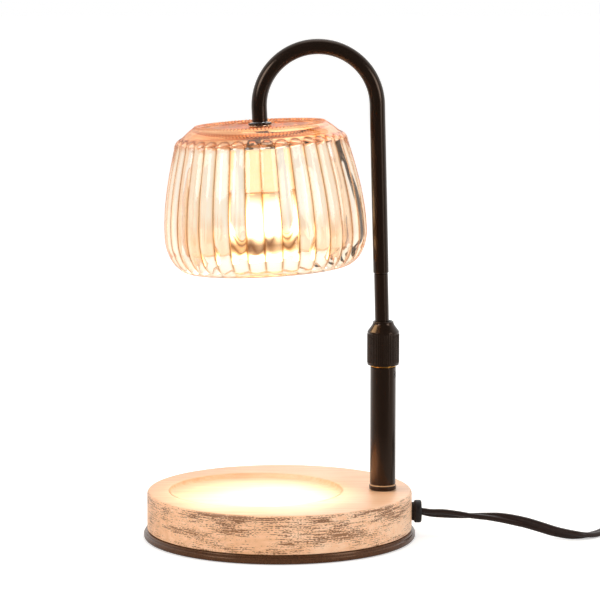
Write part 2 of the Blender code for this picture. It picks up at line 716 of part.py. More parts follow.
def make_wood(finish):
    rounding = WOOD_EDGE_ROUNDING
    outline = [
        (0, WOOD_TOP),
        *arc((WOOD_RADIUS - rounding, WOOD_TOP - rounding), rounding, 90, 0, 3),
        (WOOD_RADIUS, WOOD_BOTTOM),
        (0, WOOD_BOTTOM),
    ]
    wood = turned("wood_base", outline, finish["wood"], steps=LARGE_STEPS)
    recess = [
        (0, WOOD_TOP + CUT_OVERRUN),
        (RECESS_RADIUS, WOOD_TOP + CUT_OVERRUN),
        (RECESS_RADIUS, WOOD_TOP),
        *arc(
            (RECESS_RADIUS - RECESS_EDGE_ROUNDING, WOOD_TOP - RECESS_DEPTH + RECESS_EDGE_ROUNDING),
            RECESS_EDGE_ROUNDING, 0, -90, 3,
        ),
        (0, WOOD_TOP - RECESS_DEPTH),
    ]
    recess_at = (RECESS_CENTRE_X, 0, 0)
    cut(wood, turned("recess_cutter", recess, None, None, recess_at, steps=RECESS_STEPS))
    nipple_hole = disc(NIPPLE_RADIUS + FIT_GAP, WOOD_TOP + CUT_OVERRUN, POCKET_TOP - CUT_OVERRUN)
    cut(wood, turned("nipple_hole", nipple_hole, None, None, (POST_AXIS_X, 0, 0), steps=SMALL_STEPS))
    half = POCKET_WIDTH / 2
    slot = [
        *[(x + POST_AXIS_X, y) for x, y in arc((0, 0), half, -90, 90, 9)],
        *[(x + POST_AXIS_X - POCKET_REACH, y) for x, y in arc((0, 0), half, 90, 270, 9)],
    ]
    cut(wood, prism("wiring_pocket", slot, POCKET_TOP, WOOD_BOTTOM - CUT_OVERRUN))
    bore = disc(BUSHING_SHANK_RADIUS + FIT_GAP, WOOD_RADIUS + CUT_OVERRUN, POCKET_END_X - CUT_OVERRUN)
    at = (0, 0, BUSHING_Z)
    cut(wood, turned("bushing_bore", bore, None, None, at, (0, math.pi / 2, 0), SMALL_STEPS))
    for k in range(BASE_SCREW_COUNT):
        top = WOOD_BOTTOM + BASE_SCREW_LENGTH + FIT_GAP
        hole = disc(BASE_SCREW_RADIUS + FIT_GAP, top, WOOD_BOTTOM - CUT_OVERRUN)
        place = base_screw_place(k)
        cut(wood, turned(f"wood_screw_hole_{k + 1}", hole, None, None, place, steps=TINY_STEPS))


def make_bushing(finish):
    """The bushing lies along +X, so its outline's heights are places on X."""
    step = WOOD_RADIUS + FIT_GAP
    flange = step + BUSHING_STEP_LENGTH
    face = flange + BUSHING_FLANGE_THICKNESS
    rounding = BUSHING_EDGE_ROUNDING
    outline = [
        (0, face - BUSHING_DISH_DEPTH),
        (BUSHING_DISH_RADIUS, face - BUSHING_DISH_DEPTH),
        (BUSHING_DISH_RADIUS + BUSHING_DISH_DEPTH, face),
        *arc((BUSHING_FLANGE_RADIUS - rounding, face - rounding), rounding, 90, 0, 3),
        *arc((BUSHING_FLANGE_RADIUS - rounding / 2, flange + rounding / 2), rounding / 2, 0, -90, 2),
        (BUSHING_STEP_RADIUS, flange),
        (BUSHING_STEP_RADIUS, step),
        (BUSHING_SHANK_RADIUS, step),
        (BUSHING_SHANK_RADIUS, POCKET_END_X),
        (0, POCKET_END_X),
    ]
    along_x = (0, math.pi / 2, 0)
    turned("cord_bushing", outline, finish["black_plastic"], None, (0, 0, BUSHING_Z), along_x)
    return face - BUSHING_DISH_DEPTH


def make_post(finish):
    at = (POST_AXIS_X, 0, 0)
    bore = NIPPLE_RADIUS + FIT_GAP
    foot_top = FOOT_BOTTOM + POST_FOOT_HEIGHT
    rounding = POST_FOOT_ROUNDING
    foot = [
        (bore, foot_top),
        *arc((POST_FOOT_RADIUS - rounding, foot_top - rounding), rounding, 90, 0, 3),
        *arc((POST_FOOT_RADIUS - rounding, FOOT_BOTTOM + rounding), rounding, 0, -90, 2),
        (bore, FOOT_BOTTOM),
    ]
    turned("post_foot", foot, finish["black_metal"], None, at, steps=ROUND_STEPS)
    tube_outline = ring(POST_RADIUS, POST_BORE_RADIUS, POST_TOP, POST_BOTTOM)
    post = turned("post_tube", tube_outline, finish["black_metal"], None, at, steps=ROUND_STEPS)
    plug = ring(POST_BORE_RADIUS - FIT_GAP, bore, POST_PLUG_TOP, POST_BOTTOM)
    turned("post_plug", plug, finish["steel"], None, at, steps=SMALL_STEPS)
    nipple = ring(NIPPLE_RADIUS, NIPPLE_BORE_RADIUS, POST_PLUG_TOP, POST_NUT_BOTTOM - NIPPLE_TAIL)
    turned("post_nipple", nipple, finish["steel"], None, at, steps=SMALL_STEPS)
    washer = ring(WASHER_RADIUS, bore, WASHER_BOTTOM + WASHER_THICKNESS, WASHER_BOTTOM)
    turned("post_washer", washer, finish["steel"], None, at, steps=SMALL_STEPS)
    nut(
        "post_nut", POST_NUT_ACROSS_FLATS, bore, POST_NUT_BOTTOM + POST_NUT_HEIGHT, POST_NUT_BOTTOM,
        finish["steel"], None, at,
    )
    return post


def make_collar(finish, post, collar_axis):
    """The threaded bush, its grub screw and the knurled lock collar."""
    at = (POST_AXIS_X, 0, 0)
    sunk_radius = POST_BORE_RADIUS - FIT_GAP
    outline = [
        (BUSH_BORE_RADIUS, BUSH_TOP),
        (BUSH_THREAD_RADIUS, BUSH_TOP),
        (BUSH_THREAD_RADIUS, BUSH_FLANGE_TOP),
        (BUSH_FLANGE_RADIUS, BUSH_FLANGE_TOP),
        (BUSH_FLANGE_RADIUS, BUSH_FLANGE_BOTTOM),
        (sunk_radius, BUSH_FLANGE_BOTTOM),
        (sunk_radius, BUSH_BOTTOM),
        (BUSH_LIP_RADIUS, BUSH_BOTTOM),
        (BUSH_LIP_RADIUS, BUSH_BOTTOM + BUSH_LIP_HEIGHT),
        (BUSH_BORE_RADIUS, BUSH_BOTTOM + BUSH_LIP_HEIGHT),
    ]
    bush = turned("collar_bush", outline, finish["steel"], None, at, steps=ROUND_STEPS)

    # The grub screw runs in from the side of the post, and its outline's heights go outwards
    screw_at = (POST_AXIS_X, 0, POST_TOP - GRUB_SCREW_DROP - GRUB_SCREW_RADIUS)
    screw_turn = (0, math.pi / 2, GRUB_SCREW_TURN)
    screw_out = POST_RADIUS - GRUB_SCREW_SUNK
    screw_in = (BUSH_BORE_RADIUS + sunk_radius) / 2
    hole = disc(GRUB_SCREW_RADIUS + FIT_GAP, POST_RADIUS + CUT_OVERRUN, screw_in - FIT_GAP)
    drill = turned("grub_screw_hole", hole, None, None, screw_at, screw_turn, TINY_STEPS)
    cut(post, drill)
    cut(bush, drill)
    screw = [
        (0, screw_out - GRUB_SCREW_SOCKET_DEPTH),
        (GRUB_SCREW_SOCKET_RADIUS, screw_out - GRUB_SCREW_SOCKET_DEPTH),
        (GRUB_SCREW_SOCKET_RADIUS, screw_out),
        (GRUB_SCREW_RADIUS, screw_out),
        (GRUB_SCREW_RADIUS, screw_in),
        (0, screw_in),
    ]
    turned("grub_screw", screw, finish["steel"], None, screw_at, screw_turn, TINY_STEPS)

    # The lock collar, in the frame of its own axis, whose origin is the collar's underside
    knurl_top = COLLAR_KNURL_START + COLLAR_KNURL_LENGTH
    cone_bottom = COLLAR_HEIGHT - COLLAR_CONE_HEIGHT
    mouth_bottom = COLLAR_HEIGHT - COLLAR_MOUTH_DEPTH
    plain = COLLAR_RADIUS - COLLAR_KNURL_DEPTH
    outline = [
        (COLLAR_MOUTH_RADIUS, COLLAR_HEIGHT),
        (COLLAR_MOUTH_RADIUS + COLLAR_MOUTH_WALL, COLLAR_HEIGHT),
        (COLLAR_RADIUS, cone_bottom),
        (plain, knurl_top + (cone_bottom - knurl_top) / 2),
        (COLLAR_RADIUS, knurl_top),
        (COLLAR_RADIUS, COLLAR_KNURL_START),
        (plain, COLLAR_KNURL_START - COLLAR_KNURL_DEPTH),
        (COLLAR_RADIUS - COLLAR_CHAMFER, 0),
        (COLLAR_BORE_RADIUS, 0),
        (COLLAR_BORE_RADIUS, mouth_bottom - COLLAR_INNER_CONE_HEIGHT),
        (COLLAR_MOUTH_RADIUS, mouth_bottom),
    ]
    knurled = (4, 5)

    def groove(index, radius, height, angle):
        in_groove = index in knurled and round(angle * COLLAR_KNURL_COUNT / math.pi) % 2
        return (radius - COLLAR_KNURL_DEPTH if in_groove else radius), height

    spun("lock_collar", outline, 2 * COLLAR_KNURL_COUNT, groove, finish["black_metal"], collar_axis)


def make_collet(finish, arm_axis):
    """The nylon sleeve that the collar squeezes on to the sliding tube."""
    bottom = BUSH_TOP + FIT_GAP - COLLAR_TOP
    bore = SLIDE_RADIUS + FIT_GAP
    outline = [
        (bore, bottom + COLLET_HEIGHT),
        (bore + COLLET_TIP_WALL, bottom + COLLET_HEIGHT),
        (bore + COLLET_WALL, bottom + COLLET_HEIGHT / 2),
        (bore + COLLET_WALL, bottom),
        (bore, bottom),
    ]
    turned("collet", outline, finish["nylon"], arm_axis, steps=SMALL_STEPS)


def arm_end():
    """Where the bent arm ends in the arm's own frame, and which way it points there."""
    x = BEND_RADIUS * (math.cos(BEND_SWEEP) - 1)
    z = BEND_CENTRE_RISE + BEND_RADIUS * math.sin(BEND_SWEEP)
    way = Vector((-math.sin(BEND_SWEEP), 0, math.cos(BEND_SWEEP)))
    return Vector((x, 0, z)) + way * ARM_LEG_LENGTH, way


def bend_points(count):
    angles = np.linspace(0, BEND_SWEEP, count + 1)
    return [
        (BEND_RADIUS * (math.cos(a) - 1), 0, BEND_CENTRE_RISE + BEND_RADIUS * math.sin(a)) for a in angles
    ]


def make_arm(finish, arm_axis):
    spigot_top = SLIDE_SHOULDER_RISE + SLIDE_SPIGOT_LENGTH
    outline = [
        (SPIGOT_RADIUS, spigot_top),
        (SPIGOT_RADIUS, SLIDE_SHOULDER_RISE),
        (SLIDE_RADIUS, SLIDE_SHOULDER_RISE),
        (SLIDE_RADIUS, SLIDE_STOP_TOP),
        (SLIDE_STOP_RADIUS, SLIDE_STOP_TOP),
        (SLIDE_STOP_RADIUS, SLIDE_BOTTOM),
        (SLIDE_BORE_RADIUS, SLIDE_BOTTOM),
        (SLIDE_BORE_RADIUS, spigot_top),
    ]
    turned("slide_tube", outline, finish["black_metal"], arm_axis, steps=SMALL_STEPS)
    bottom = SLIDE_SHOULDER_RISE + FIT_GAP
    end, way = arm_end()
    points = [(0, 0, bottom), *bend_points(BEND_STEPS), tuple(end)]
    arm = tube("gooseneck_tube", points, ARM_RADIUS, finish["black_metal"], arm_axis, ARM_BEVEL_STEPS)
    beyond = end + way * CUT_OVERRUN
    inner = [(0, 0, bottom - CUT_OVERRUN), *bend_points(BEND_STEPS), tuple(beyond)]
    cut(arm, tube("gooseneck_bore", inner, ARM_BORE_RADIUS, None, arm_axis, ARM_BEVEL_STEPS))
    stop = end - way * (WELL_FLOOR + FIT_GAP)
    lead = [(0, 0, SLIDE_BOTTOM), *bend_points(BEND_STEPS // 2), tuple(stop)]
    tube("head_lead", lead, LEAD_RADIUS, finish["cord"], arm_axis)


def make_flange(finish, head):
    """The toothed washer between the arm and the glass."""
    bottom = -FIT_GAP - HEAD_FLANGE_THICKNESS
    outline = ring(HEAD_FLANGE_RADIUS, HEAD_BORE_RADIUS, -FIT_GAP, bottom)

    def tooth(index, radius, height, angle):
        valley = index < 2 and round(angle * HEAD_FLANGE_TEETH / math.pi) % 2
        return (radius - HEAD_FLANGE_TOOTH_DEPTH if valley else radius), height

    spun("head_flange", outline, 2 * HEAD_FLANGE_TEETH, tooth, finish["black_metal"], head)


def make_head(finish, head):
    bore = HEAD_BORE_RADIUS
    nipple = [
        (SPIGOT_RADIUS, HEAD_SPIGOT_LENGTH),
        (SPIGOT_RADIUS, -FIT_GAP),
        (HEAD_NIPPLE_RADIUS, -FIT_GAP),
        (HEAD_NIPPLE_RADIUS, HEAD_NIPPLE_BOTTOM),
        (HEAD_NIPPLE_BORE_RADIUS, HEAD_NIPPLE_BOTTOM),
        (HEAD_NIPPLE_BORE_RADIUS, HEAD_SPIGOT_LENGTH),
    ]
    turned("head_nipple", nipple, finish["steel"], head, steps=SMALL_STEPS)
    make_flange(finish, head)
    gasket = ring(GASKET_RADIUS, bore, GASKET_TOP, GASKET_TOP - GASKET_THICKNESS)
    turned("shade_gasket", gasket, finish["rubber"], head, steps=SMALL_STEPS)
    washer = ring(HEAD_WASHER_RADIUS, bore, HEAD_WASHER_TOP, HEAD_WASHER_TOP - HEAD_WASHER_THICKNESS)
    turned("shade_washer", washer, finish["steel"], head, steps=SMALL_STEPS)
    nut(
        "shade_nut", HEAD_NUT_ACROSS_FLATS, bore, HEAD_NUT_TOP, HEAD_NUT_TOP - HEAD_NUT_HEIGHT,
        finish["steel"], head,
    )
    centre = (0, 0, BRACKET_TOP - BRACKET_THICKNESS / 2)
    size = (BRACKET_WIDTH, BRACKET_LENGTH, BRACKET_THICKNESS)
    bracket = block("holder_bracket", size, finish["steel"], head, centre)
    over = BRACKET_THICKNESS + CUT_OVERRUN
    centre_hole = disc(bore, over, -over)
    cut(bracket, turned("bracket_centre_hole", centre_hole, None, head, centre, steps=SMALL_STEPS))
    for k, side in enumerate((1, -1)):
        at = (0, side * HOLDER_SCREW_CIRCLE, BRACKET_TOP)
        hole = disc(HOLDER_SCREW_RADIUS + FIT_GAP, over, -over)
        cut(bracket, turned(f"bracket_screw_hole_{k + 1}", hole, None, head, at, steps=TINY_STEPS))


def glass_side(share, wall=0.0):
    """A point of the side, which swells in a quarter of a sine from the shoulder to the belly."""
    swell = GLASS_BELLY_RADIUS - GLASS_SHOULDER_RADIUS
    fall = GLASS_BELLY_DROP - GLASS_SHOULDER_DROP
    radius = GLASS_SHOULDER_RADIUS + swell * math.sin(share * math.pi / 2)
    return radius - wall, -GLASS_SHOULDER_DROP - fall * share


def glass_foot(degrees, wall=0.0):
    """A point of the foot, a quarter of an ellipse from the belly in to the mouth."""
    angle = math.radians(degrees)
    inward = GLASS_BELLY_RADIUS - GLASS_MOUTH_RADIUS - wall
    down = GLASS_HEIGHT - GLASS_BELLY_DROP - wall
    return GLASS_MOUTH_RADIUS + inward * math.cos(angle), -GLASS_BELLY_DROP - down * math.sin(angle)


def glass_outline():
    """The shade's outer outline from its top hole to its mouth, with heights from the glass's top."""
    hole = HEAD_BORE_RADIUS + 2 * FIT_GAP
    third = GLASS_RIM_WIDTH / 3
    corner = (GLASS_SHOULDER_RADIUS - GLASS_SHOULDER_BEND, -GLASS_SHOULDER_DROP)
    return [
        (hole, 0),
        (GLASS_RIM_RADIUS - GLASS_RIM_WIDTH, 0),
        (GLASS_RIM_RADIUS - 2 * third, GLASS_RIM_RISE),
        (GLASS_RIM_RADIUS - third, GLASS_RIM_RISE),
        *arc(corner, GLASS_SHOULDER_BEND, *GLASS_SHOULDER_ANGLES, 3),
        *[glass_side(share) for share in GLASS_SIDE_SHARES],
        *[glass_foot(angle) for angle in GLASS_FOOT_ANGLES],
    ]


def inner_glass_outline(outer):
    """The inside of the wall, from the lip back up to the hole."""
    wall = GLASS_WALL
    radius, height = outer[-1]
    lip_in, lip_down, edge_in, edge_up = (wall * share for share in GLASS_LIP_SHARES)
    corner = (GLASS_SHOULDER_RADIUS - GLASS_SHOULDER_BEND, -GLASS_SHOULDER_DROP)
    return [
        (radius - lip_in, height + lip_down),
        (radius - edge_in, height + edge_up),
        *[glass_foot(angle, wall) for angle in GLASS_INNER_FOOT_ANGLES],
        *[glass_side(share, wall) for share in GLASS_INNER_SIDE_SHARES],
        *arc(corner, GLASS_SHOULDER_BEND - wall, 45, 45, 1),
        (GLASS_RIM_RADIUS - wall / 2, -wall),
        (outer[0][0], -wall),
    ]


def make_glass(finish, head):
    outer = glass_outline()
    outline = outer + inner_glass_outline(outer)
    rib_start = -GLASS_SHOULDER_DROP + GLASS_SHOULDER_BEND * GLASS_RIB_START_SHARE

    def rib(index, radius, height, angle):
        if index >= len(outer):
            return radius, height + GLASS_TOP
        below = min(1.0, max(0.0, (rib_start - height) / GLASS_RIB_FADE))
        above = min(1.0, max(0.0, (height + GLASS_HEIGHT) / GLASS_RIB_FADE))
        groove = 1 - abs(math.sin(angle * GLASS_RIB_COUNT / 2))
        return radius - GLASS_RIB_DEPTH * groove * below * above, height + GLASS_TOP

    spun("glass_shade", outline, GLASS_RIB_COUNT * GLASS_STEPS_PER_RIB, rib, finish["glass"], head)


def arc_slot(name, half_width, start, sweep, top, bottom, head):
    """A cutter for a slot along an arc of the pin circle."""
    first, last = math.degrees(start), math.degrees(start + sweep)
    outline = arc((0, 0), BULB_PIN_CIRCLE + half_width, first, last, 5)
    end = arc((0, 0), BULB_PIN_CIRCLE, last, last, 1)[0]
    outline += arc(end, half_width, last + 30, last + 150, 5)
    outline += arc((0, 0), BULB_PIN_CIRCLE - half_width, last, first, 3)
    begin = arc((0, 0), BULB_PIN_CIRCLE, first, first, 1)[0]
    outline += arc(begin, half_width, first + 210, first + 330, 5)
    return prism(name, outline, top, bottom, None, head)


def make_holder(finish, head):
    rounding = HOLDER_EDGE_ROUNDING
    recess = BULB_BASE_RADIUS + FIT_GAP
    outline = [
        (0, WELL_FLOOR),
        (HOLDER_WELL_RADIUS, WELL_FLOOR),
        (HOLDER_WELL_RADIUS, HOLDER_TOP),
        *arc((HOLDER_RADIUS - rounding, HOLDER_TOP - rounding), rounding, 90, 0, 2),
        *arc((HOLDER_RADIUS - rounding, HOLDER_BOTTOM + rounding), rounding, 0, -90, 2),
        (recess, HOLDER_BOTTOM),
        (recess, HOLDER_SEAT),
        (0, HOLDER_SEAT),
    ]
    holder = turned("lamp_holder", outline, finish["ceramic"], head, steps=ROUND_STEPS)
    slot_top = HOLDER_SEAT + HOLDER_SLOT_DEPTH
    slot_bottom = HOLDER_SEAT - CUT_OVERRUN
    slot_half = BULB_PIN_HEAD_RADIUS + FIT_GAP
    screw_head_top = HOLDER_SEAT + HOLDER_SCREW_SUNK + HOLDER_SCREW_HEAD_HEIGHT
    screw_bottom = HOLDER_SEAT + HOLDER_SCREW_SUNK
    for k, side in enumerate((1, -1)):
        start = 0 if side > 0 else math.pi
        name = f"pin_slot_{k + 1}"
        cut(holder, arc_slot(name, slot_half, start, BULB_TWIST, slot_top, slot_bottom, head))
        at = (0, side * HOLDER_SCREW_CIRCLE, 0)
        shank, wide = HOLDER_SCREW_RADIUS, HOLDER_SCREW_HEAD_RADIUS
        hole = [
            (0, HOLDER_TOP + CUT_OVERRUN),
            (shank + FIT_GAP, HOLDER_TOP + CUT_OVERRUN),
            (shank + FIT_GAP, screw_head_top + FIT_GAP),
            (wide + FIT_GAP, screw_head_top + FIT_GAP),
            (wide + FIT_GAP, slot_bottom),
            (0, slot_bottom),
        ]
        cut(holder, turned(f"holder_screw_hole_{k + 1}", hole, None, head, at, steps=TINY_STEPS))
        screw = [
            (0, BRACKET_TOP),
            (shank, BRACKET_TOP),
            (shank, screw_head_top),
            (wide, screw_head_top),
            (wide, screw_bottom),
            (0, screw_bottom),
        ]
        turned(f"holder_screw_{k + 1}", screw, finish["steel"], head, at, steps=TINY_STEPS)
        contact_at = (side * BULB_PIN_CIRCLE, 0, slot_top - FIT_GAP - CONTACT_THICKNESS / 2)
        contact_size = (CONTACT_SIZE, CONTACT_SIZE, CONTACT_THICKNESS)
        block(f"holder_contact_{k + 1}", contact_size, finish["brass"], head, contact_at)


def make_bulb(finish, bulb_axis):
    """The bulb, in the head's frame: cap with two pins, reflector, front lens and capsule."""
    rounding = BULB_NECK_ROUNDING / 2
    cap = [
        (0, BULB_TOP),
        *arc((BULB_BASE_RADIUS - rounding, BULB_TOP - rounding), rounding, 90, 0, 3),
        (BULB_BASE_RADIUS, BULB_BASE_BOTTOM),
        (0, BULB_BASE_BOTTOM),
    ]
    base = turned("bulb_base", cap, finish["ceramic"], bulb_axis, steps=ROUND_STEPS)
    for k, side in enumerate((1, -1)):
        head_bottom = BULB_TOP + BULB_PIN_LENGTH - BULB_PIN_HEAD_HEIGHT
        pin = [
            (0, BULB_TOP + BULB_PIN_LENGTH),
            (BULB_PIN_HEAD_RADIUS, BULB_TOP + BULB_PIN_LENGTH),
            (BULB_PIN_HEAD_RADIUS, head_bottom),
            (BULB_PIN_RADIUS, head_bottom),
            (BULB_PIN_RADIUS, BULB_TOP - rounding),
            (0, BULB_TOP - rounding),
        ]
        at = (side * BULB_PIN_CIRCLE, 0, 0)
        cut(base, turned(f"bulb_pin_{k + 1}", pin, None, bulb_axis, at, steps=TINY_STEPS), "UNION")
    neck = BULB_NECK_RADIUS
    bend = BULB_NECK_ROUNDING
    bore = BULB_BASE_RADIUS + FIT_GAP
    wall = BULB_WALL
    flare = BULB_RIM_RADIUS - neck
    lens_top = RIM_BOTTOM + BULB_LENS_DOME + BULB_LENS_THICKNESS + FIT_GAP
    outline = [
        (bore, REFLECTOR_TOP),
        *arc((neck - bend, REFLECTOR_TOP - bend), bend, 90, 0, 3),
        (neck, REFLECTOR_FLARE_TOP),
        *[
            (neck + flare * out, REFLECTOR_FLARE_TOP - BULB_FLARE_LENGTH * down)
            for out, down in BULB_FLARE_SHARES
        ],
        (BULB_RIM_RADIUS, RIM_TOP),
        (BULB_RIM_RADIUS, RIM_BOTTOM),
        (BULB_RIM_RADIUS - wall, RIM_BOTTOM),
        (BULB_RIM_RADIUS - wall, lens_top),
        (BULB_RIM_RADIUS - 2 * wall, lens_top),
        (BULB_RIM_RADIUS - 2 * wall, RIM_TOP),
        *[
            (neck + flare * out - wall - FIT_GAP, REFLECTOR_FLARE_TOP - BULB_FLARE_LENGTH * down)
            for out, down in reversed(BULB_FLARE_SHARES)
        ],
        (neck - wall, REFLECTOR_FLARE_TOP),
        (bore, BULB_BASE_BOTTOM),
    ]
    turned("bulb_reflector", outline, finish["reflector"], bulb_axis, steps=ROUND_STEPS)
    lens_radius = BULB_RIM_RADIUS - wall - FIT_GAP
    low = RIM_BOTTOM + BULB_LENS_DOME
    lens = [
        (0, low + BULB_LENS_THICKNESS - BULB_LENS_DOME),
        (lens_radius * BULB_LENS_MIDDLE_SHARE, low + BULB_LENS_THICKNESS - BULB_LENS_DOME / 2),
        (lens_radius, low + BULB_LENS_THICKNESS),
        (lens_radius, low),
        (lens_radius * BULB_LENS_MIDDLE_SHARE, low - BULB_LENS_DOME / 2),
        (0, low - BULB_LENS_DOME),
    ]
    turned("bulb_lens", lens, finish["clear_glass"], bulb_axis, steps=ROUND_STEPS)
    top = BULB_BASE_BOTTOM - FIT_GAP
    tip = top - CAPSULE_LENGTH + CAPSULE_RADIUS
    capsule = [
        (0, top),
        (CAPSULE_RADIUS, top),
        *arc((0, tip), CAPSULE_RADIUS, 0, -80, 4),
        (0, tip - CAPSULE_RADIUS),
    ]
    turned("bulb_capsule", capsule, finish["clear_glass"], bulb_axis, steps=TINY_STEPS)


def make_inner_wiring(finish, arm_axis):
    """The mains lead, its crimped connectors and the slack lead that feeds the arm."""
    left = POST_AXIS_X - CONNECTOR_START
    low = WOOD_BOTTOM + CONNECTOR_RADIUS
    spread = CONNECTOR_SPREAD
    for k, side in enumerate((1, -1)):
        rounding = CONNECTOR_RADIUS / 2
        cap = [
            (0, 0),
            (CONNECTOR_RADIUS, 0),
            *arc((CONNECTOR_RADIUS - rounding, rounding - CONNECTOR_LENGTH), rounding, 0, -90, 3),
            (0, -CONNECTOR_LENGTH),
        ]
        at = (left, side * spread, low)
        turned(f"wire_connector_{k + 1}", cap, finish["nylon"], None, at, (0, math.pi / 2, 0), TINY_STEPS)
    start_x = POCKET_END_X - FIT_GAP
    start = left + FIT_GAP
    mains = [
        (start_x, 0, BUSHING_Z, 0),
        *[
            (start_x + (start - start_x) * along, spread * aside, BUSHING_Z + (low - BUSHING_Z) * down, 0)
            for along, aside, down in MAINS_LEAD_SHARES
        ],
        (start, spread, low, 0),
    ]
    places = [tuple(point[:3]) for point in smooth_route(mains, CORD_POINT_STEP)]
    tube("mains_lead", places, MAINS_LEAD_RADIUS, finish["cord"])
    under_nut = POST_NUT_BOTTOM - NIPPLE_TAIL
    top = arm_axis.matrix_world @ Vector((0, 0, SLIDE_BOTTOM - FIT_GAP))
    wave = POST_BORE_RADIUS / 3
    slack_bottom = POST_PLUG_TOP + LEAD_RADIUS
    slack = top.z - slack_bottom
    feed = [
        (start, -spread, low, 0),
        (start + CONNECTOR_RADIUS, -spread, low, 0),
        (POST_AXIS_X - CONNECTOR_RADIUS, -spread / 2, low, 0),
        (POST_AXIS_X, 0, under_nut, 0),
        (POST_AXIS_X, 0, under_nut + CONNECTOR_RADIUS, 0),
        (POST_AXIS_X, 0, slack_bottom, 0),
        (POST_AXIS_X - wave, 0, slack_bottom + slack / 3, 0),
        (POST_AXIS_X + wave, 0, slack_bottom + slack * 2 / 3, 0),
        (top.x, 0, top.z, 0),
    ]
    places = [tuple(point[:3]) for point in smooth_route(feed, CORD_POINT_STEP)]
    tube("post_lead", places, LEAD_RADIUS, finish["cord"])


def from_wood(route):
    """The route's points with X measured from the object's own origin."""
    return [(WOOD_RADIUS + x, y, z, roll) for x, y, z, roll in route]


def coil_route():
    """The coil's places: four turns in, half a turn that climbs a layer, and turns out on top."""
    step = 2 * math.pi / POINTS_PER_TURN
    turn_in = 2 * math.pi * COIL_TURNS_IN
    turn_climb = turn_in + math.pi
    last = turn_climb + 2 * math.pi * COIL_TURNS_OUT
    route = []
    for turned_by in np.linspace(0, last, round(last / step) + 1):
        if turned_by <= turn_in:
            radius = COIL_OUTER_RADIUS - COIL_TURN_STEP * turned_by / (2 * math.pi)
            rise = 0.0
        elif turned_by <= turn_climb:
            share = (turned_by - turn_in) / math.pi
            radius = COIL_INNER_RADIUS - COIL_DIP * math.sin(share * math.pi)
            rise = share * share * (3 - 2 * share)
        else:
            radius = COIL_INNER_RADIUS + COIL_TURN_STEP * (turned_by - turn_climb) / (2 * math.pi)
            rise = 1.0
        angle = COIL_ENTRY_ANGLE - turned_by
        route.append((
            COIL_CENTRE_X + radius * math.cos(angle),
            COIL_CENTRE_Y + radius * math.sin(angle),
            CORD_LOW_Z + COIL_LAYER_STEP * rise,
            0.0,
        ))
    return route


def run_on(route, end, distance):
    """A point straight on from the route's first or last point."""
    here, near = (route[0], route[1]) if end == 0 else (route[-1], route[-2])
    way = Vector(here[:3]) - Vector(near[:3])
    return Vector(here[:3]) + way.normalized() * distance


def print_least_gap(mesh):
    """Print the least gap between turns, measured on the points of the coil's surface."""
    corners = np.array([vertex.co for vertex in mesh.vertices])
    sides = len(cord_section())
    rings = len(corners) // sides
    corners = corners[:rings * sides]
    nearest = math.inf
    for k in range(rings):
        here = corners[k * sides:(k + 1) * sides]
        later = corners[(k + POINTS_PER_TURN // 2) * sides:]
        if len(later):
            apart = np.linalg.norm(here[:, None] - later[None], axis=2)
            nearest = min(nearest, apart.min())
    print(f"least gap between the coil's turns: {nearest * 1000:.2f} mm")


def make_cord(finish, switch, lead_start):
    """The flat cord from the bushing to the dimmer, on to the coil, and out to the plug."""
    vinyl = finish["cord"]
    tip_in = switch.matrix_world @ Vector((-SWITCH_TIP - FIT_GAP, 0, SWITCH_CORD_HEIGHT))
    tip_out = switch.matrix_world @ Vector((SWITCH_TIP + FIT_GAP, 0, SWITCH_CORD_HEIGHT))
    along = Vector((math.cos(SWITCH_YAW), math.sin(SWITCH_YAW), 0))
    lead = [
        (lead_start, 0, BUSHING_Z, LEAD_START_ROLL),
        *from_wood(LEAD_ROUTE),
        tuple(tip_in - along * CORD_THICKNESS) + (270,),
        tuple(tip_in) + (270,),
    ]
    flat_cord("cord_lead", smooth_route(lead, CORD_POINT_STEP), vinyl)

    coil = coil_route()
    start_run = run_on(coil, 0, CORD_WIDTH)
    end_run = run_on(coil, -1, CORD_WIDTH)
    coil = [(*start_run, 0.0), *coil, (*end_run, 0.0)]
    wound = flat_cord("cord_coil", coil, vinyl)
    print_least_gap(wound.data)

    start = run_on(coil, 0, FIT_GAP)
    before = run_on(coil, 0, FIT_GAP + CORD_WIDTH)
    link = [
        tuple(tip_out) + (90,),
        tuple(tip_out + along * CORD_THICKNESS) + (90,),
        *from_wood(LINK_ROUTE),
        tuple(before) + (0,),
        tuple(start) + (0,),
    ]
    flat_cord("cord_link", smooth_route(link, CORD_POINT_STEP), vinyl)

    leave = run_on(coil, -1, FIT_GAP)
    heading = (leave - Vector(coil[-1][:3])).normalized()
    reach = leave + heading * PLUG_LEAD_IN
    arrive = Vector((reach.x, reach.y, PLUG_AXIS_Z))
    tail = [
        tuple(leave) + (0,),
        tuple(leave + heading * CORD_WIDTH) + (0,),
        tuple(leave.lerp(arrive, TAIL_REACH_SHARE)) + (TAIL_ROLL,),
        tuple(arrive - heading * CORD_WIDTH) + (90,),
        tuple(arrive) + (90,),
    ]
    flat_cord("cord_tail", smooth_route(tail, CORD_POINT_STEP), vinyl)
    return arrive + heading * FIT_GAP, math.atan2(heading.y, heading.x)


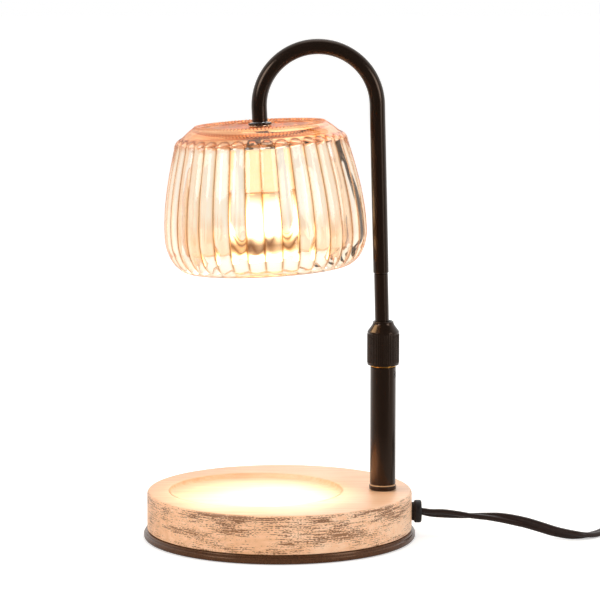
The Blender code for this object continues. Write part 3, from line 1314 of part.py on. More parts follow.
def make_switch(finish, switch, dial_axis):
    """The in-line rotary dimmer: two shells, cord boots, board, dimmer and dial."""
    plastic = finish["black_plastic"]
    wall = SWITCH_WALL
    size = (SWITCH_LENGTH, SWITCH_WIDTH)
    inner = (SWITCH_LENGTH - 2 * wall, SWITCH_WIDTH - 2 * wall)
    base = block(
        "switch_base", (*size, SWITCH_BASE_HEIGHT), plastic, switch,
        (0, 0, PAD_PROUD + SWITCH_BASE_HEIGHT / 2), rounding=SWITCH_ROUNDING / 2,
    )
    floor = PAD_PROUD + wall
    tray_top = SWITCH_BASE_TOP + CUT_OVERRUN
    tray = (*inner, tray_top - floor)
    cut(base, block("switch_base_hollow", tray, None, switch, (0, 0, (tray_top + floor) / 2)))
    cover = block(
        "switch_cover", (*size, SWITCH_COVER_HEIGHT), plastic, switch,
        (0, 0, SWITCH_COVER_BOTTOM + SWITCH_COVER_HEIGHT / 2), rounding=SWITCH_ROUNDING / 2,
    )
    ceiling = SWITCH_COVER_TOP - wall
    lid_bottom = SWITCH_COVER_BOTTOM - CUT_OVERRUN
    lid = (*inner, ceiling - lid_bottom)
    cut(cover, block("switch_cover_hollow", lid, None, switch, (0, 0, (ceiling + lid_bottom) / 2)))
    shaft_hole = disc(SHAFT_RADIUS + FIT_GAP, SWITCH_COVER_TOP + CUT_OVERRUN, ceiling - CUT_OVERRUN)
    cut(cover, turned("dial_hole", shaft_hole, None, switch, steps=TINY_STEPS))

    board_bottom = SWITCH_CORD_HEIGHT - BOARD_THICKNESS
    for k, side in enumerate((1, -1)):
        at = (
            side * (SWITCH_LENGTH / 2 - SWITCH_SCREW_INSET),
            side * (SWITCH_WIDTH / 2 - SWITCH_SCREW_INSET),
            0,
        )
        boss = disc(SWITCH_BOSS_RADIUS, ceiling + wall / 2, floor + FIT_GAP)
        cut(cover, turned(f"switch_boss_{k + 1}", boss, None, switch, at, steps=TINY_STEPS), "UNION")
        screw_top = SWITCH_COVER_BOTTOM + SWITCH_COVER_HEIGHT / 2
        bore = disc(SWITCH_SCREW_RADIUS + FIT_GAP, screw_top + FIT_GAP, -CUT_OVERRUN)
        drill = turned(f"switch_screw_bore_{k + 1}", bore, None, switch, at, steps=TINY_STEPS)
        cut(cover, drill)
        cut(base, drill)
        head_top = PAD_PROUD + SWITCH_SCREW_HEAD_HEIGHT
        sink = disc(SWITCH_SCREW_HEAD_RADIUS + FIT_GAP, head_top + FIT_GAP, -CUT_OVERRUN)
        cut(base, turned(f"switch_screw_sink_{k + 1}", sink, None, switch, at, steps=TINY_STEPS))
        screw = [
            (0, screw_top),
            (SWITCH_SCREW_RADIUS, screw_top),
            (SWITCH_SCREW_RADIUS, head_top),
            (SWITCH_SCREW_HEAD_RADIUS, head_top),
            (SWITCH_SCREW_HEAD_RADIUS, PAD_PROUD),
            (0, PAD_PROUD),
        ]
        turned(f"switch_screw_{k + 1}", screw, finish["steel"], switch, at, steps=TINY_STEPS)
        boot = [
            (0, BOOT_LENGTH),
            (BOOT_TIP_RADIUS, BOOT_LENGTH),
            (BOOT_ROOT_RADIUS, 0),
            (0, 0),
        ]
        boot_at = (side * (SWITCH_LENGTH / 2 + FIT_GAP), 0, SWITCH_CORD_HEIGHT)
        outward = (0, side * math.pi / 2, 0)
        turned(f"switch_boot_{k + 1}", boot, plastic, switch, boot_at, outward, TINY_STEPS)

    board_at = (0, 0, board_bottom + BOARD_THICKNESS / 2)
    block("dimmer_board", (BOARD_LENGTH, BOARD_WIDTH, BOARD_THICKNESS), finish["board"], switch, board_at)
    body_bottom = board_bottom + BOARD_THICKNESS + FIT_GAP
    body_at = (0, 0, body_bottom + DIMMER_BODY_HEIGHT / 2)
    body_size = (DIMMER_BODY_SIZE, DIMMER_BODY_SIZE, DIMMER_BODY_HEIGHT)
    block("dimmer_body", body_size, finish["steel"], switch, body_at)
    dial_bottom = SWITCH_COVER_TOP + FIT_GAP
    shaft_bottom = body_bottom + DIMMER_BODY_HEIGHT + FIT_GAP
    mark_outline = dial_outline(dial_bottom, shaft_bottom)

    def notch(index, radius, height, angle):
        dent = index in (1, 2) and round(angle * DIAL_NOTCHES / math.pi) % 2
        return (radius - DIAL_NOTCH_DEPTH if dent else radius), height

    dial = spun("dimmer_dial", mark_outline, 2 * DIAL_NOTCHES, notch, plastic, dial_axis)
    mark_at = (DIAL_RADIUS - DIAL_MARK_LENGTH / 2, 0, dial_bottom + DIAL_HEIGHT)
    mark = (DIAL_MARK_LENGTH, DIAL_MARK_WIDTH, 2 * DIAL_MARK_DEPTH)
    cut(dial, block("dial_mark", mark, None, dial_axis, mark_at))


def dial_outline(bottom, shaft_bottom):
    """The dial and its shaft in one, as a ring that closes on a narrow centre bore."""
    top = bottom + DIAL_HEIGHT
    bore = DIAL_MARK_WIDTH / 2
    return [
        (bore, top),
        (DIAL_RADIUS - DIAL_NOTCH_DEPTH, top),
        (DIAL_RADIUS, top - DIAL_HEIGHT / 4),
        (DIAL_RADIUS, bottom),
        (SHAFT_RADIUS, bottom),
        (SHAFT_RADIUS, shaft_bottom),
        (bore, shaft_bottom),
    ]


def make_plug(finish, tip, yaw):
    """The plug, along its own +X from the cord's end: relief, body and two blades."""
    plastic = finish["black_plastic"]
    plug = frame_at("plug_frame", None, tuple(tip), (0, 0, yaw))
    body_start = PLUG_RELIEF_LENGTH - PLUG_RELIEF_SEAT
    bm = bmesh.new()
    bmesh.ops.create_cube(bm, size=1.0)
    bmesh.ops.scale(bm, vec=(PLUG_BODY_LENGTH, PLUG_BODY_WIDTH, PLUG_BODY_HEIGHT), verts=bm.verts)
    for vert in bm.verts:
        if vert.co.x < 0:
            vert.co.y *= PLUG_TAIL_WIDTH_SHARE
    body_at = (body_start + PLUG_BODY_LENGTH / 2, 0, 0)
    body = placed("plug_body", mesh_from("plug_body", bm), plastic, plug, body_at)
    bevel = body.modifiers.new("rounding", "BEVEL")
    bevel.width = PLUG_ROUNDING
    bevel.segments = 2
    relief = [
        (0, PLUG_RELIEF_LENGTH),
        (PLUG_RELIEF_ROOT_RADIUS, PLUG_RELIEF_LENGTH),
        (PLUG_RELIEF_TIP_RADIUS, 0),
        (0, 0),
    ]
    relief_cutter = turned("plug_relief", relief, None, plug, (0, 0, 0), (0, math.pi / 2, 0), TINY_STEPS)
    cut(body, relief_cutter, "UNION")
    face = body_start + PLUG_BODY_LENGTH
    for k, side in enumerate((1, -1)):
        start = face - BLADE_SEAT
        blade = (BLADE_LENGTH + BLADE_SEAT, BLADE_THICKNESS, BLADE_WIDTH)
        at = (start + blade[0] / 2, side * BLADE_SPACING / 2, 0)
        block(f"plug_blade_{k + 1}", blade, finish["brass"], plug, at)
        seat = tuple(length + 2 * FIT_GAP for length in blade)
        cut(body, block(f"blade_seat_{k + 1}", seat, None, plug, at))


def main():
    clear_scene()
    finish = make_finishes()
    make_pad_and_plate(finish)
    make_base_screws(finish)
    make_wood(finish)
    lead_start = make_bushing(finish) + FIT_GAP
    post = make_post(finish)
    collar_axis = frame_at("collar_axis", None, (POST_AXIS_X, 0, COLLAR_BOTTOM))
    make_collar(finish, post, collar_axis)
    arm_axis = frame_at("arm_axis", None, (POST_AXIS_X - ARM_SET_OVER, 0, COLLAR_TOP), (0, -ARM_LEAN, 0))
    make_collet(finish, arm_axis)
    make_arm(finish, arm_axis)
    end, _ = arm_end()
    head = frame_at("head_frame", arm_axis, tuple(end), (0, math.pi - BEND_SWEEP, 0))
    make_head(finish, head)
    make_glass(finish, head)
    make_holder(finish, head)
    bulb_axis = frame_at("bulb_axis", head)
    make_bulb(finish, bulb_axis)
    switch = frame_at("switch_frame", None, (SWITCH_X, SWITCH_Y, 0), (0, 0, SWITCH_YAW))
    dial_axis = frame_at("dial_axis", switch)
    bpy.context.view_layer.update()
    make_inner_wiring(finish, arm_axis)
    make_switch(finish, switch, dial_axis)
    tip, yaw = make_cord(finish, switch, lead_start)
    make_plug(finish, tip, yaw)
    for thing in bpy.data.collections[PARTS].objects:
        if thing.type == "MESH":
            smooth(thing)
    bpy.context.view_layer.update()


main()
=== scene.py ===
# %% [markdown]
# # A candle warmer lamp
# A candle warmer melts a scented candle from above with the heat of a small reflector bulb, so
# that nothing has to burn. This one has a ribbed amber glass shade on a bent black arm, a post
# with a lock collar, a turned wooden base with a shallow seat for the jar, and a flat brown cord.
# The solids come from the CAD frame. This script gives them their looks, in the same metres.

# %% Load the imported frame
import json
import math

import bmesh
import bpy
import numpy as np
from mathutils import Matrix, Vector


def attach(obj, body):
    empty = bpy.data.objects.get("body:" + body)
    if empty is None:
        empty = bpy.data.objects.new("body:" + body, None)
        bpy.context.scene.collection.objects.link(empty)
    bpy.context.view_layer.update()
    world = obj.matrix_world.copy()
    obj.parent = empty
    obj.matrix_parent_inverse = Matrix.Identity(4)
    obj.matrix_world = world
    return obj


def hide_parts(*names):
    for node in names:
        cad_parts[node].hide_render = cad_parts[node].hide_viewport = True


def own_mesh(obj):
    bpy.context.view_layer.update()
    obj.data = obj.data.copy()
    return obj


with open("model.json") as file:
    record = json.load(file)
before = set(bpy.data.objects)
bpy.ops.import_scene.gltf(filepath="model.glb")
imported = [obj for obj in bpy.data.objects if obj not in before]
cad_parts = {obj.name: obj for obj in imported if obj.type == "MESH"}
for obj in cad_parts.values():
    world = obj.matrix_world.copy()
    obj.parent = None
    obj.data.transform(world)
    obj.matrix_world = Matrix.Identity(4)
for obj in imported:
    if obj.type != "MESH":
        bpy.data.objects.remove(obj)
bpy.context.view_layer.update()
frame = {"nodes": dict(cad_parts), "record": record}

print("CAD nodes:", len(frame["nodes"]))

# %% [markdown]
# ## Camera
# The product was seen from a little above its top, from far away with a long lens, which keeps
# its upright lines nearly parallel. The place, tilt and lens were solved from the outline of the
# base and of the arm, whose sizes are known in the CAD model.

# %% Camera
CAMERA_PLACE = (0.01161, -1.600, 0.3465)
CAMERA_TILT = math.radians(82.47)
CAMERA_LENS = 172.17

scene = bpy.context.scene
camera_data = bpy.data.cameras.new("long_lens")
camera_data.lens = CAMERA_LENS
camera = bpy.data.objects.new("long_lens", camera_data)
camera.location = CAMERA_PLACE
camera.rotation_euler = (CAMERA_TILT, 0, 0)
scene.collection.objects.link(camera)
scene.camera = camera
scene.view_settings.view_transform = "Standard"
print("camera looks down by", round(90 - math.degrees(CAMERA_TILT), 2), "degrees")

# %% [markdown]
# ## Small helpers
# Sizes in this file are written in millimetres and turned to metres in one place. Colours are
# written as the sRGB hex values that a colour picker shows, and one function turns them to the
# linear values that the shaders want. One function adds a node with its settings and links.

# %% Colours and nodes
MM = 0.001


def linear(code):
    """Linear RGBA from an sRGB hex colour."""
    made = []
    for k in (0, 2, 4):
        share = int(code[k:k + 2], 16) / 255
        made.append(share / 12.92 if share <= 0.04045 else ((share + 0.055) / 1.055) ** 2.4)
    return (*made, 1.0)


def wire(tree, made, inputs):
    """Feed inputs: nodes and sockets are linked, hex colours are made linear, numbers are set."""
    for name, value in inputs.items():
        if isinstance(value, bpy.types.Node):
            value = next(socket for socket in value.outputs if socket.enabled)
        if isinstance(value, bpy.types.NodeSocket):
            tree.links.new(value, made.inputs[name])
        else:
            made.inputs[name].default_value = linear(value) if isinstance(value, str) else value


def node(tree, kind, inputs=(), stops=(), **settings):
    """Add a node: its settings, what feeds its inputs, and the (place, hex) stops of a ramp."""
    made = tree.nodes.new("ShaderNode" + kind)
    for name, value in settings.items():
        setattr(made, name, value)
    wire(tree, made, dict(inputs))
    for _ in stops[2:]:
        made.color_ramp.elements.new(0.5)
    for k, (place, code) in enumerate(stops):
        made.color_ramp.elements[k].position = place
        made.color_ramp.elements[k].color = linear(code)
    return made


def new_finish(name, **values):
    """A material with a Principled shader and the values of its sockets."""
    made = bpy.data.materials.new(name)
    made.use_nodes = True
    shader = made.node_tree.nodes["Principled BSDF"]
    wire(made.node_tree, shader, {key.replace("_", " "): values[key] for key in values})
    return made, made.node_tree, shader


print("a mid grey of 808080 is", round(linear("808080")[0], 3), "in linear light")

# %% [markdown]
# ## Skins over rings
# Nearly every piece here is turned, drawn or moulded, so one helper covers a stack of rings of
# points with faces. A lathe profile, a bent tube and a flat cord all come from it. The rings
# carry the fine detail themselves, such as knurls and ribs, so the shape is in the mesh and not
# only in the shading.

# %% Skins
SHARP_ANGLE = math.radians(38)


def skin(rings, wrap=False, place=None):
    """A smooth mesh over rings of points, which is closed by wrapping or by filled ends."""
    count = len(rings[0])
    points = np.concatenate([np.asarray(ring, float) for ring in rings])
    if place is not None:
        points = points @ np.array(place.to_3x3()).T + np.array(place.translation)
    faces = []
    for i in range(len(rings) if wrap else len(rings) - 1):
        low, high = i * count, (i + 1) % len(rings) * count
        faces += [(low + j, low + (j + 1) % count, high + (j + 1) % count, high + j)
                  for j in range(count)]
    if not wrap:
        faces.append(tuple(range(count)))
        faces.append(tuple(range((len(rings) - 1) * count, len(rings) * count)))
    mesh = bpy.data.meshes.new("skin")
    mesh.from_pydata(points.tolist(), [], faces)
    bm = bmesh.new()
    bm.from_mesh(mesh)
    bmesh.ops.recalc_face_normals(bm, faces=bm.faces)
    bm.to_mesh(mesh)
    bm.free()
    mesh.shade_smooth()
    mesh.set_sharp_from_angle(angle=SHARP_ANGLE)
    return mesh


print("faces that meet at more than", round(math.degrees(SHARP_ANGLE)), "degrees keep an edge")

# %% Outlines and pieces
def lathe_rings(outline, steps, reshape=None):
    """Rings for an outline of (radius, height) in millimetres; reshape may move each one."""
    angles = np.linspace(0, 2 * math.pi, steps, endpoint=False)
    rings = []
    for radius, height in outline:
        radii = np.full(steps, float(radius))
        heights = np.full(steps, float(height))
        if reshape is not None:
            radii, heights = reshape(radii, heights, angles)
        rings.append(np.stack([radii * np.cos(angles), radii * np.sin(angles), heights], 1) * MM)
    return rings


def bend(centre, radius, first, last, steps):
    """Points of an arc in an outline, with angles in degrees."""
    angles = np.radians(np.linspace(first, last, steps + 1))
    return [(centre[0] + radius * math.cos(a), centre[1] + radius * math.sin(a)) for a in angles]


def show(name, mesh, finish, body, slot, *nodes):
    """Make a piece that rides on a body and stands for CAD nodes."""
    mesh.name = name
    mesh.materials.append(finish)
    thing = bpy.data.objects.new(name, mesh)
    scene.collection.objects.link(thing)
    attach(thing, body)
    if nodes:
        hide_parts(*nodes)
    print(f"{name}: {len(mesh.polygons)} faces on {body}, for {', '.join(nodes) or 'itself'}")
    return thing


print("a quarter of a circle in 3 steps:", np.round(bend((0, 0), 1.0, 0, 90, 3), 3).tolist())

# %% [markdown]
# ## Studio
# The floor is a plain pale sheet that keeps the lamp's soft shadow. To the camera, and to rays
# that are mirrored by metal or bent by glass, the floor and the backdrop are white. Only the
# side of the room that lies in front of the object, behind the photographer, is dimmer when it
# is mirrored, and that is what keeps the black metal dark. Large soft lamps light the object
# itself at a plain level, so that a colour looks about as it is written, and a low strip light
# draws one pale band down the right of the post.

# %% What rays see
HALF_ROOM = 0.3


def what_sees(tree, along_y):
    """Which rays see white (camera, refracted, mirrored to the back), and which the dim front."""
    path = node(tree, "LightPath").outputs
    behind = node(tree, "MapRange", {"Value": along_y, "From Min": -HALF_ROOM,
                                     "From Max": HALF_ROOM})
    white = node(tree, "Math", {0: path["Is Glossy Ray"], 1: behind}, operation="MULTIPLY")
    to_front = node(tree, "Math", {0: path["Is Glossy Ray"], 1: white}, operation="SUBTRACT")
    for ray in ("Is Camera Ray", "Is Transmission Ray"):
        white = node(tree, "Math", {0: path[ray], 1: white}, operation="MAXIMUM")
    return white, to_front


print("mirrored rays fade from dim to white between y of", -HALF_ROOM, "and", HALF_ROOM)

# %% Floor
FLOOR_HALF = 9.0
FLOOR_COLOUR = "F3F1EE"
DIM_FLOOR_COLOUR = "6A6663"
FLOOR_LIFT = 0.46

floor_finish, tree, shader = new_finish(
    "matt_white_floor", Base_Color=FLOOR_COLOUR, Roughness=0.9, Emission_Color="FFFFFF")
place = node(tree, "SeparateXYZ", {"Vector": node(tree, "TexCoord").outputs["Object"]})
white, to_front = what_sees(tree, place.outputs["Y"])
wire(tree, shader, {
    "Emission Strength": node(tree, "Math", {0: white, 1: FLOOR_LIFT}, operation="MULTIPLY"),
    "Base Color": node(tree, "ValToRGB", {"Fac": to_front},
                       ((0.0, FLOOR_COLOUR), (1.0, DIM_FLOOR_COLOUR)))})

floor_mesh = bpy.data.meshes.new("floor")
corners = [(x * FLOOR_HALF, y * FLOOR_HALF, 0) for x, y in ((-1, -1), (1, -1), (1, 1), (-1, 1))]
floor_mesh.from_pydata(corners, [], [(0, 1, 2, 3)])
floor_mesh.materials.append(floor_finish)
floor = bpy.data.objects.new("floor", floor_mesh)
scene.collection.objects.link(floor)
print("floor of", 2 * FLOOR_HALF, "m, lifted to white by", FLOOR_LIFT)

# %% White tent
SURROUND_FILL = 0.62
DIM_FILL = 0.15

world = bpy.data.worlds.new("white_tent")
world.use_nodes = True
scene.world = world
tree = world.node_tree
way = node(tree, "SeparateXYZ", {"Vector": node(tree, "TexCoord").outputs["Generated"]})
white, to_front = what_sees(tree, way.outputs["Y"])
fill = node(tree, "MapRange", {"Value": to_front, "To Min": SURROUND_FILL, "To Max": DIM_FILL})
strength = node(tree, "MapRange", {"Value": white, "To Min": fill, "To Max": 1.0})
wire(tree, tree.nodes["Background"], {"Color": "FFFFFF", "Strength": strength})
print("surroundings fill", SURROUND_FILL, "and in front", DIM_FILL)

# %% Soft lamps
LAMP_TARGET = (0.0, 0.0, 0.12)
LAMPS = (
    ("key", (-1.30, -0.95, 0.85), (0.90, 0.90), 11.5),
    ("fill", (1.30, -0.90, 0.60), (0.80, 0.80), 6.0),
    ("top", (0.10, 0.30, 1.60), (1.00, 1.00), 2.0),
    ("back", (0.30, 1.40, 0.90), (0.90, 0.90), 3.0),
    ("strip", (0.48, -0.27, 0.22), (0.07, 0.50), 0.25),
)

for name, place, (wide, tall), power in LAMPS:
    data = bpy.data.lights.new(name, "AREA")
    data.shape = "ELLIPSE"
    data.size = wide
    data.size_y = tall
    data.energy = power
    lamp = bpy.data.objects.new(name, data)
    lamp.location = place
    aim = Vector(LAMP_TARGET) - Vector(place)
    lamp.rotation_euler = aim.to_track_quat("-Z", "Y").to_euler()
    scene.collection.objects.link(lamp)
    print(f"{name} lamp: {wide} x {tall} m, {power} W, {aim.length:.2f} m away")

# %% [markdown]
# ## Flat twin cord
# The cord is flat lamp flex: two stranded copper cores side by side in one brown PVC jacket,
# 6.2 mm wide and 3 mm thick, with a groove between the cores. It is stiff across its width and
# limp the other way, so it rolls over as it comes down from the base, and lies flat where it
# meets the table. A bevelled curve could draw it, but a section that is swept by hand can
# follow the roll that is seen at each place, so the route's fourth value is that roll.

# %% Cord section
CORD_WIDTH = 6.2
CORD_THICKNESS = 3.0
CORE_SPACING = 3.2
GROOVE_HALF_WIDTH = 0.38
CORE_POINTS = 9


def twin_section():
    """The section of flat twin flex, upright: two round cores that meet in a groove."""
    radius = CORD_THICKNESS / 2
    off = CORE_SPACING / 2
    dip = math.degrees(math.asin((GROOVE_HALF_WIDTH - off) / radius))
    upper = bend((0, off), radius, dip, 180 - dip, CORE_POINTS)
    return np.array(upper + [(-x, -y) for x, y in upper])


section = twin_section()
thick, wide = np.ptp(section, axis=0)
print(f"cord section: {len(section)} points, {wide:.1f} x {thick:.1f} mm")

# %% Routes and sweeps
def smooth_route(points, step):
    """Places and rolls about a step apart on a smooth curve through the given ones."""
    given = np.array(points, float)
    reach = np.concatenate([[0], np.cumsum(np.linalg.norm(np.diff(given[:, :3], axis=0), axis=1))])
    slope = np.gradient(given, reach, axis=0)
    made = []
    for k in range(len(given) - 1):
        span = reach[k + 1] - reach[k]
        for t in np.arange(0, 1, 1 / max(1, round(span / step))):
            made.append(
                (2 * t**3 - 3 * t**2 + 1) * given[k] + (t**3 - 2 * t**2 + t) * span * slope[k]
                + (3 * t**2 - 2 * t**3) * given[k + 1] + (t**3 - t**2) * span * slope[k + 1]
            )
    return np.array([*made, given[-1]])


def sweep(route, section):
    """A section in millimetres swept along a route in metres, turned by the route's roll."""
    places = route[:, :3]
    ways = np.gradient(places, axis=0)
    rings = []
    for place, way, roll in zip(places, ways, np.radians(route[:, 3])):
        way = Vector(way).normalized()
        up = (Vector((0, 0, 1)) - way * way.z).normalized()
        side = way.cross(up)
        wide = up * math.cos(roll) + side * math.sin(roll)
        thin = wide.cross(way)
        rings.append([Vector(place) + thin * x * MM + wide * y * MM for x, y in section])
    return skin(rings)


def run_length(places):
    """The length of a line of places, in metres."""
    return float(np.linalg.norm(np.diff(np.asarray(places)[:, :3], axis=0), axis=1).sum())


corner = smooth_route([(0, 0, 0, 0), (0.1, 0, 0, 0), (0.1, 0.1, 0, 0)], 0.01)
print("a smooth route round a corner of 100 and 100 mm:", round(run_length(corner) * 1000), "mm")

# %% [markdown]
# ## Brown PVC
# The jacket is plasticised PVC, extruded in a dark brown. It has the low, wide gloss of soft
# vinyl, and a fine matt grain from the extruder, which softens the highlights. The real grain is
# about 0.1 mm, too fine to show, so it is drawn as coarse as 0.9 mm. As on most real finishes,
# one pattern shows in the colour, the relief and the gloss at once, so one function lays it in.

# %% Cord material
CORD_GRAIN_MM = 0.9


def lay_in(tree, shader, pattern, tones, relief, gloss=()):
    """Show a pattern as tones (ramp stops), relief (mm, strength) and gloss (roughness range)."""
    raised = node(tree, "Bump", {"Height": pattern, "Distance": relief[0] * MM,
                                 "Strength": relief[1]})
    toned = node(tree, "ValToRGB", {"Fac": pattern}, tones)
    wire(tree, shader, {"Base Color": toned, "Normal": raised})
    if gloss:
        rough = node(tree, "MapRange", {"Value": pattern, "To Min": gloss[0], "To Max": gloss[1]})
        wire(tree, shader, {"Roughness": rough})


cord_finish, tree, shader = new_finish(
    "extruded_brown_pvc", Base_Color="24150F", Roughness=0.34, IOR=1.53, Specular_IOR_Level=0.28)
where = node(tree, "TexCoord").outputs["Object"]
grain = node(tree, "TexNoise", {"Vector": where, "Scale": 1000 / CORD_GRAIN_MM, "Detail": 3.0})
lay_in(tree, shader, grain, ((0.30, "1C0F0A"), (0.70, "2E1B13")), (0.05, 0.5), (0.28, 0.42))
print("jacket grain every", CORD_GRAIN_MM, "mm")

# %% [markdown]
# ## The visible cord
# From the bushing the cord stands straight out, sinks to the table within about eighty
# millimetres and swings towards the back. It carries on to a rotary dimmer just outside the
# view. This stretch is shown almost whole, so its line was read from the photograph.

# %% Cord from the base to the dimmer
SWITCH_PLACE = (218.7, 64.9)
SWITCH_YAW = math.radians(62)
SWITCH_LENGTH = 52.0
BOOT_LENGTH = 20.0
CORD_HEIGHT_AT_SWITCH = 5.0
PIECE_GAP = 0.3
CORD_IN_BOOT = 1.5
ROUTE_STEP = 0.0018
LEAD_START = (0.0801, 0.0, 0.0141, 60)
LEAD_ROUTE = (
    (0.0857, 0.0000, 0.0131, 50), (0.0925, -0.0001, 0.0128, 41), (0.1005, -0.0004, 0.0122, 53),
    (0.1073, -0.0008, 0.0117, 76), (0.1129, -0.0013, 0.0115, 92), (0.1197, -0.0019, 0.0113, 111),
    (0.1265, -0.0027, 0.0107, 136), (0.1332, -0.0036, 0.0096, 152), (0.1399, -0.0048, 0.0083, 173),
    (0.1477, -0.0066, 0.0063, 182), (0.1555, -0.0088, 0.0043, 191), (0.1621, -0.0109, 0.0033, 207),
    (0.1665, -0.0119, 0.0029, 223), (0.1711, -0.0109, 0.0024, 245), (0.1760, -0.0072, 0.0019, 262),
    (0.1811, -0.0018, 0.0018, 269), (0.1872, 0.0078, 0.0022, 270),
)

along = Vector((math.cos(SWITCH_YAW), math.sin(SWITCH_YAW), 0))
middle = Vector((*SWITCH_PLACE, CORD_HEIGHT_AT_SWITCH)) * MM
tip_reach = (SWITCH_LENGTH / 2 + PIECE_GAP + BOOT_LENGTH - CORD_IN_BOOT) * MM
tip_in, tip_out = middle - along * tip_reach, middle + along * tip_reach
stub = along * CORD_THICKNESS * MM
lead_points = [LEAD_START, *LEAD_ROUTE, (*(tip_in - stub), 270), (*tip_in, 270)]
lead_line = smooth_route(lead_points, ROUTE_STEP)
lead = show("lead_flex", sweep(lead_line, section), cord_finish, "base", "cord_vinyl", "cord_lead")
print("lead length in mm:", round(run_length(lead_line) * 1000, 1))

# %% [markdown]
# ## The stored cord
# Such a lamp has about 1.8 m of cord, and only a short stretch is seen. The rest is wound as for
# storage, in a neat coil of about seven turns in two layers, right beside the dimmer: four turns
# go inwards on the table, half a turn climbs, and three turns come back out on top. Each turn
# keeps the cord upright, on its narrow edge, which is how flat flex likes to be wound. A thin
# tie goes round the bundle at one place, and the lower turns ride over it.

# %% Coil
TIE_TURN = math.radians(200)
TIE_LIFT = 0.35
TIE_LIFT_REACH = 12.0
COIL_CENTRE = (285.5, 92.0)
COIL_INNER_RADIUS = 27.0
COIL_TURN_STEP = 3.60
COIL_LAYER_STEP = 6.70
COIL_DIP = 1.2
COIL_ENTRY_ANGLE = math.radians(105)
COIL_TURNS_IN = 4
COIL_TURNS_OUT = 2.9
POINTS_PER_TURN = 72
CORD_LIFT = 0.05


def coil_places():
    """Turns in, half a turn that climbs a layer, and turns out on top."""
    turn_in = 2 * math.pi * COIL_TURNS_IN
    climb = turn_in + math.pi
    last = climb + 2 * math.pi * COIL_TURNS_OUT
    made = []
    for turned in np.linspace(0, last, round(last / (2 * math.pi) * POINTS_PER_TURN) + 1):
        if turned <= turn_in:
            radius = COIL_INNER_RADIUS + COIL_TURN_STEP * (turn_in - turned) / (2 * math.pi)
            rise = 0.0
        elif turned <= climb:
            share = (turned - turn_in) / math.pi
            radius = COIL_INNER_RADIUS - COIL_DIP * math.sin(share * math.pi)
            rise = share * share * (3 - 2 * share)
        else:
            radius = COIL_INNER_RADIUS + COIL_TURN_STEP * (turned - climb) / (2 * math.pi)
            rise = 1.0
        angle = COIL_ENTRY_ANGLE - turned
        from_tie = abs((angle - TIE_TURN + math.pi) % (2 * math.pi) - math.pi) * radius
        lift = TIE_LIFT * math.cos(min(from_tie / TIE_LIFT_REACH, 1) * math.pi / 2) ** 2
        height = CORD_WIDTH / 2 + CORD_LIFT + COIL_LAYER_STEP * rise + lift * (1 - rise)
        x = COIL_CENTRE[0] + radius * math.cos(angle)
        y = COIL_CENTRE[1] + radius * math.sin(angle)
        made.append((x * MM, y * MM, height * MM, 0.0))
    return made


coil = coil_places()
print(f"coil: {len(coil)} points, {run_length(coil):.3f} m")

# %% Link and tail
LINK_ROUTE = ((0.2472, 0.1166, 0.0043, 60), (0.2545, 0.1240, 0.0035, 25))
PLUG_LEAD_IN = 30.0
PLUG_AXIS_HEIGHT = 6.8
TAIL_SHARE = 0.55
TAIL_ROLL = 50

first_way = (Vector(coil[0][:3]) - Vector(coil[1][:3])).normalized()
last_way = (Vector(coil[-1][:3]) - Vector(coil[-2][:3])).normalized()
width = CORD_WIDTH * MM
gap = PIECE_GAP * MM
before = Vector(coil[0][:3]) + first_way * (2 * width + gap)
start = Vector(coil[0][:3]) + first_way * (width + gap)
leave = Vector(coil[-1][:3]) + last_way * (width + gap)
reach = leave + last_way * PLUG_LEAD_IN * MM
arrive = Vector((reach.x, reach.y, PLUG_AXIS_HEIGHT * MM))
link_line = smooth_route(
    [(*tip_out, 90), (*(tip_out + stub), 90), *LINK_ROUTE, (*before, 0), (*start, 0)], ROUTE_STEP)
tail_line = smooth_route(
    [(*leave, 0), (*(leave + last_way * width), 0), (*leave.lerp(arrive, TAIL_SHARE), TAIL_ROLL),
     (*(arrive - last_way * width), 90), (*arrive, 90)], ROUTE_STEP)
stored_line = np.concatenate([link_line, coil, tail_line])
stored = show("stored_flex", sweep(stored_line, section), cord_finish, "base", "cord_vinyl",
              "cord_link", "cord_coil", "cord_tail")

# %% [markdown]
# ## Turned wooden base
# The base is a disc of pale softwood, turned on a lathe, with a shallow round seat for the jar
# let into its top, off centre under the shade. Planed softwood shows fine darker lines along the
# grain, so its colour is a noise that is stretched along one axis, with broad clouds of lighter
# and darker wood added. The wood is oiled and rubbed, which leaves a thin soft gloss.

# %% Wood material
WOOD_RADIUS = 75.0
WOOD_TOP = 26.7
WOOD_BOTTOM = 5.1
GRAIN_MM = 2.6
GRAIN_LENGTH_MM = 38.0
CLOUD_MM = 55.0

wood_finish, tree, shader = new_finish(
    "turned_brushed_pine", Roughness=0.48, IOR=1.5, Coat_Weight=0.2, Coat_Roughness=0.35)
where = node(tree, "TexCoord").outputs["Object"]
stretch = node(tree, "Mapping", {
    "Vector": where, "Scale": (1000 / GRAIN_LENGTH_MM, 1000 / GRAIN_MM, 1000 / GRAIN_MM)})
grain = node(tree, "TexNoise", {"Vector": stretch, "Scale": 1.0, "Detail": 5.0, "Roughness": 0.6})
clouds = node(tree, "TexNoise", {"Vector": where, "Scale": 1000 / CLOUD_MM, "Detail": 2.0})
tone = node(tree, "Math", {0: grain, 1: clouds}, operation="ADD")
half = node(tree, "Math", {0: tone, 1: 0.5}, operation="MULTIPLY")
clean = node(tree, "ValToRGB", {"Fac": half},
             ((0.36, "E4AB7C"), (0.50, "F4C096"), (0.64, "FAD0AC")))
print("grain lines", GRAIN_MM, "mm apart and", GRAIN_LENGTH_MM, "mm long")

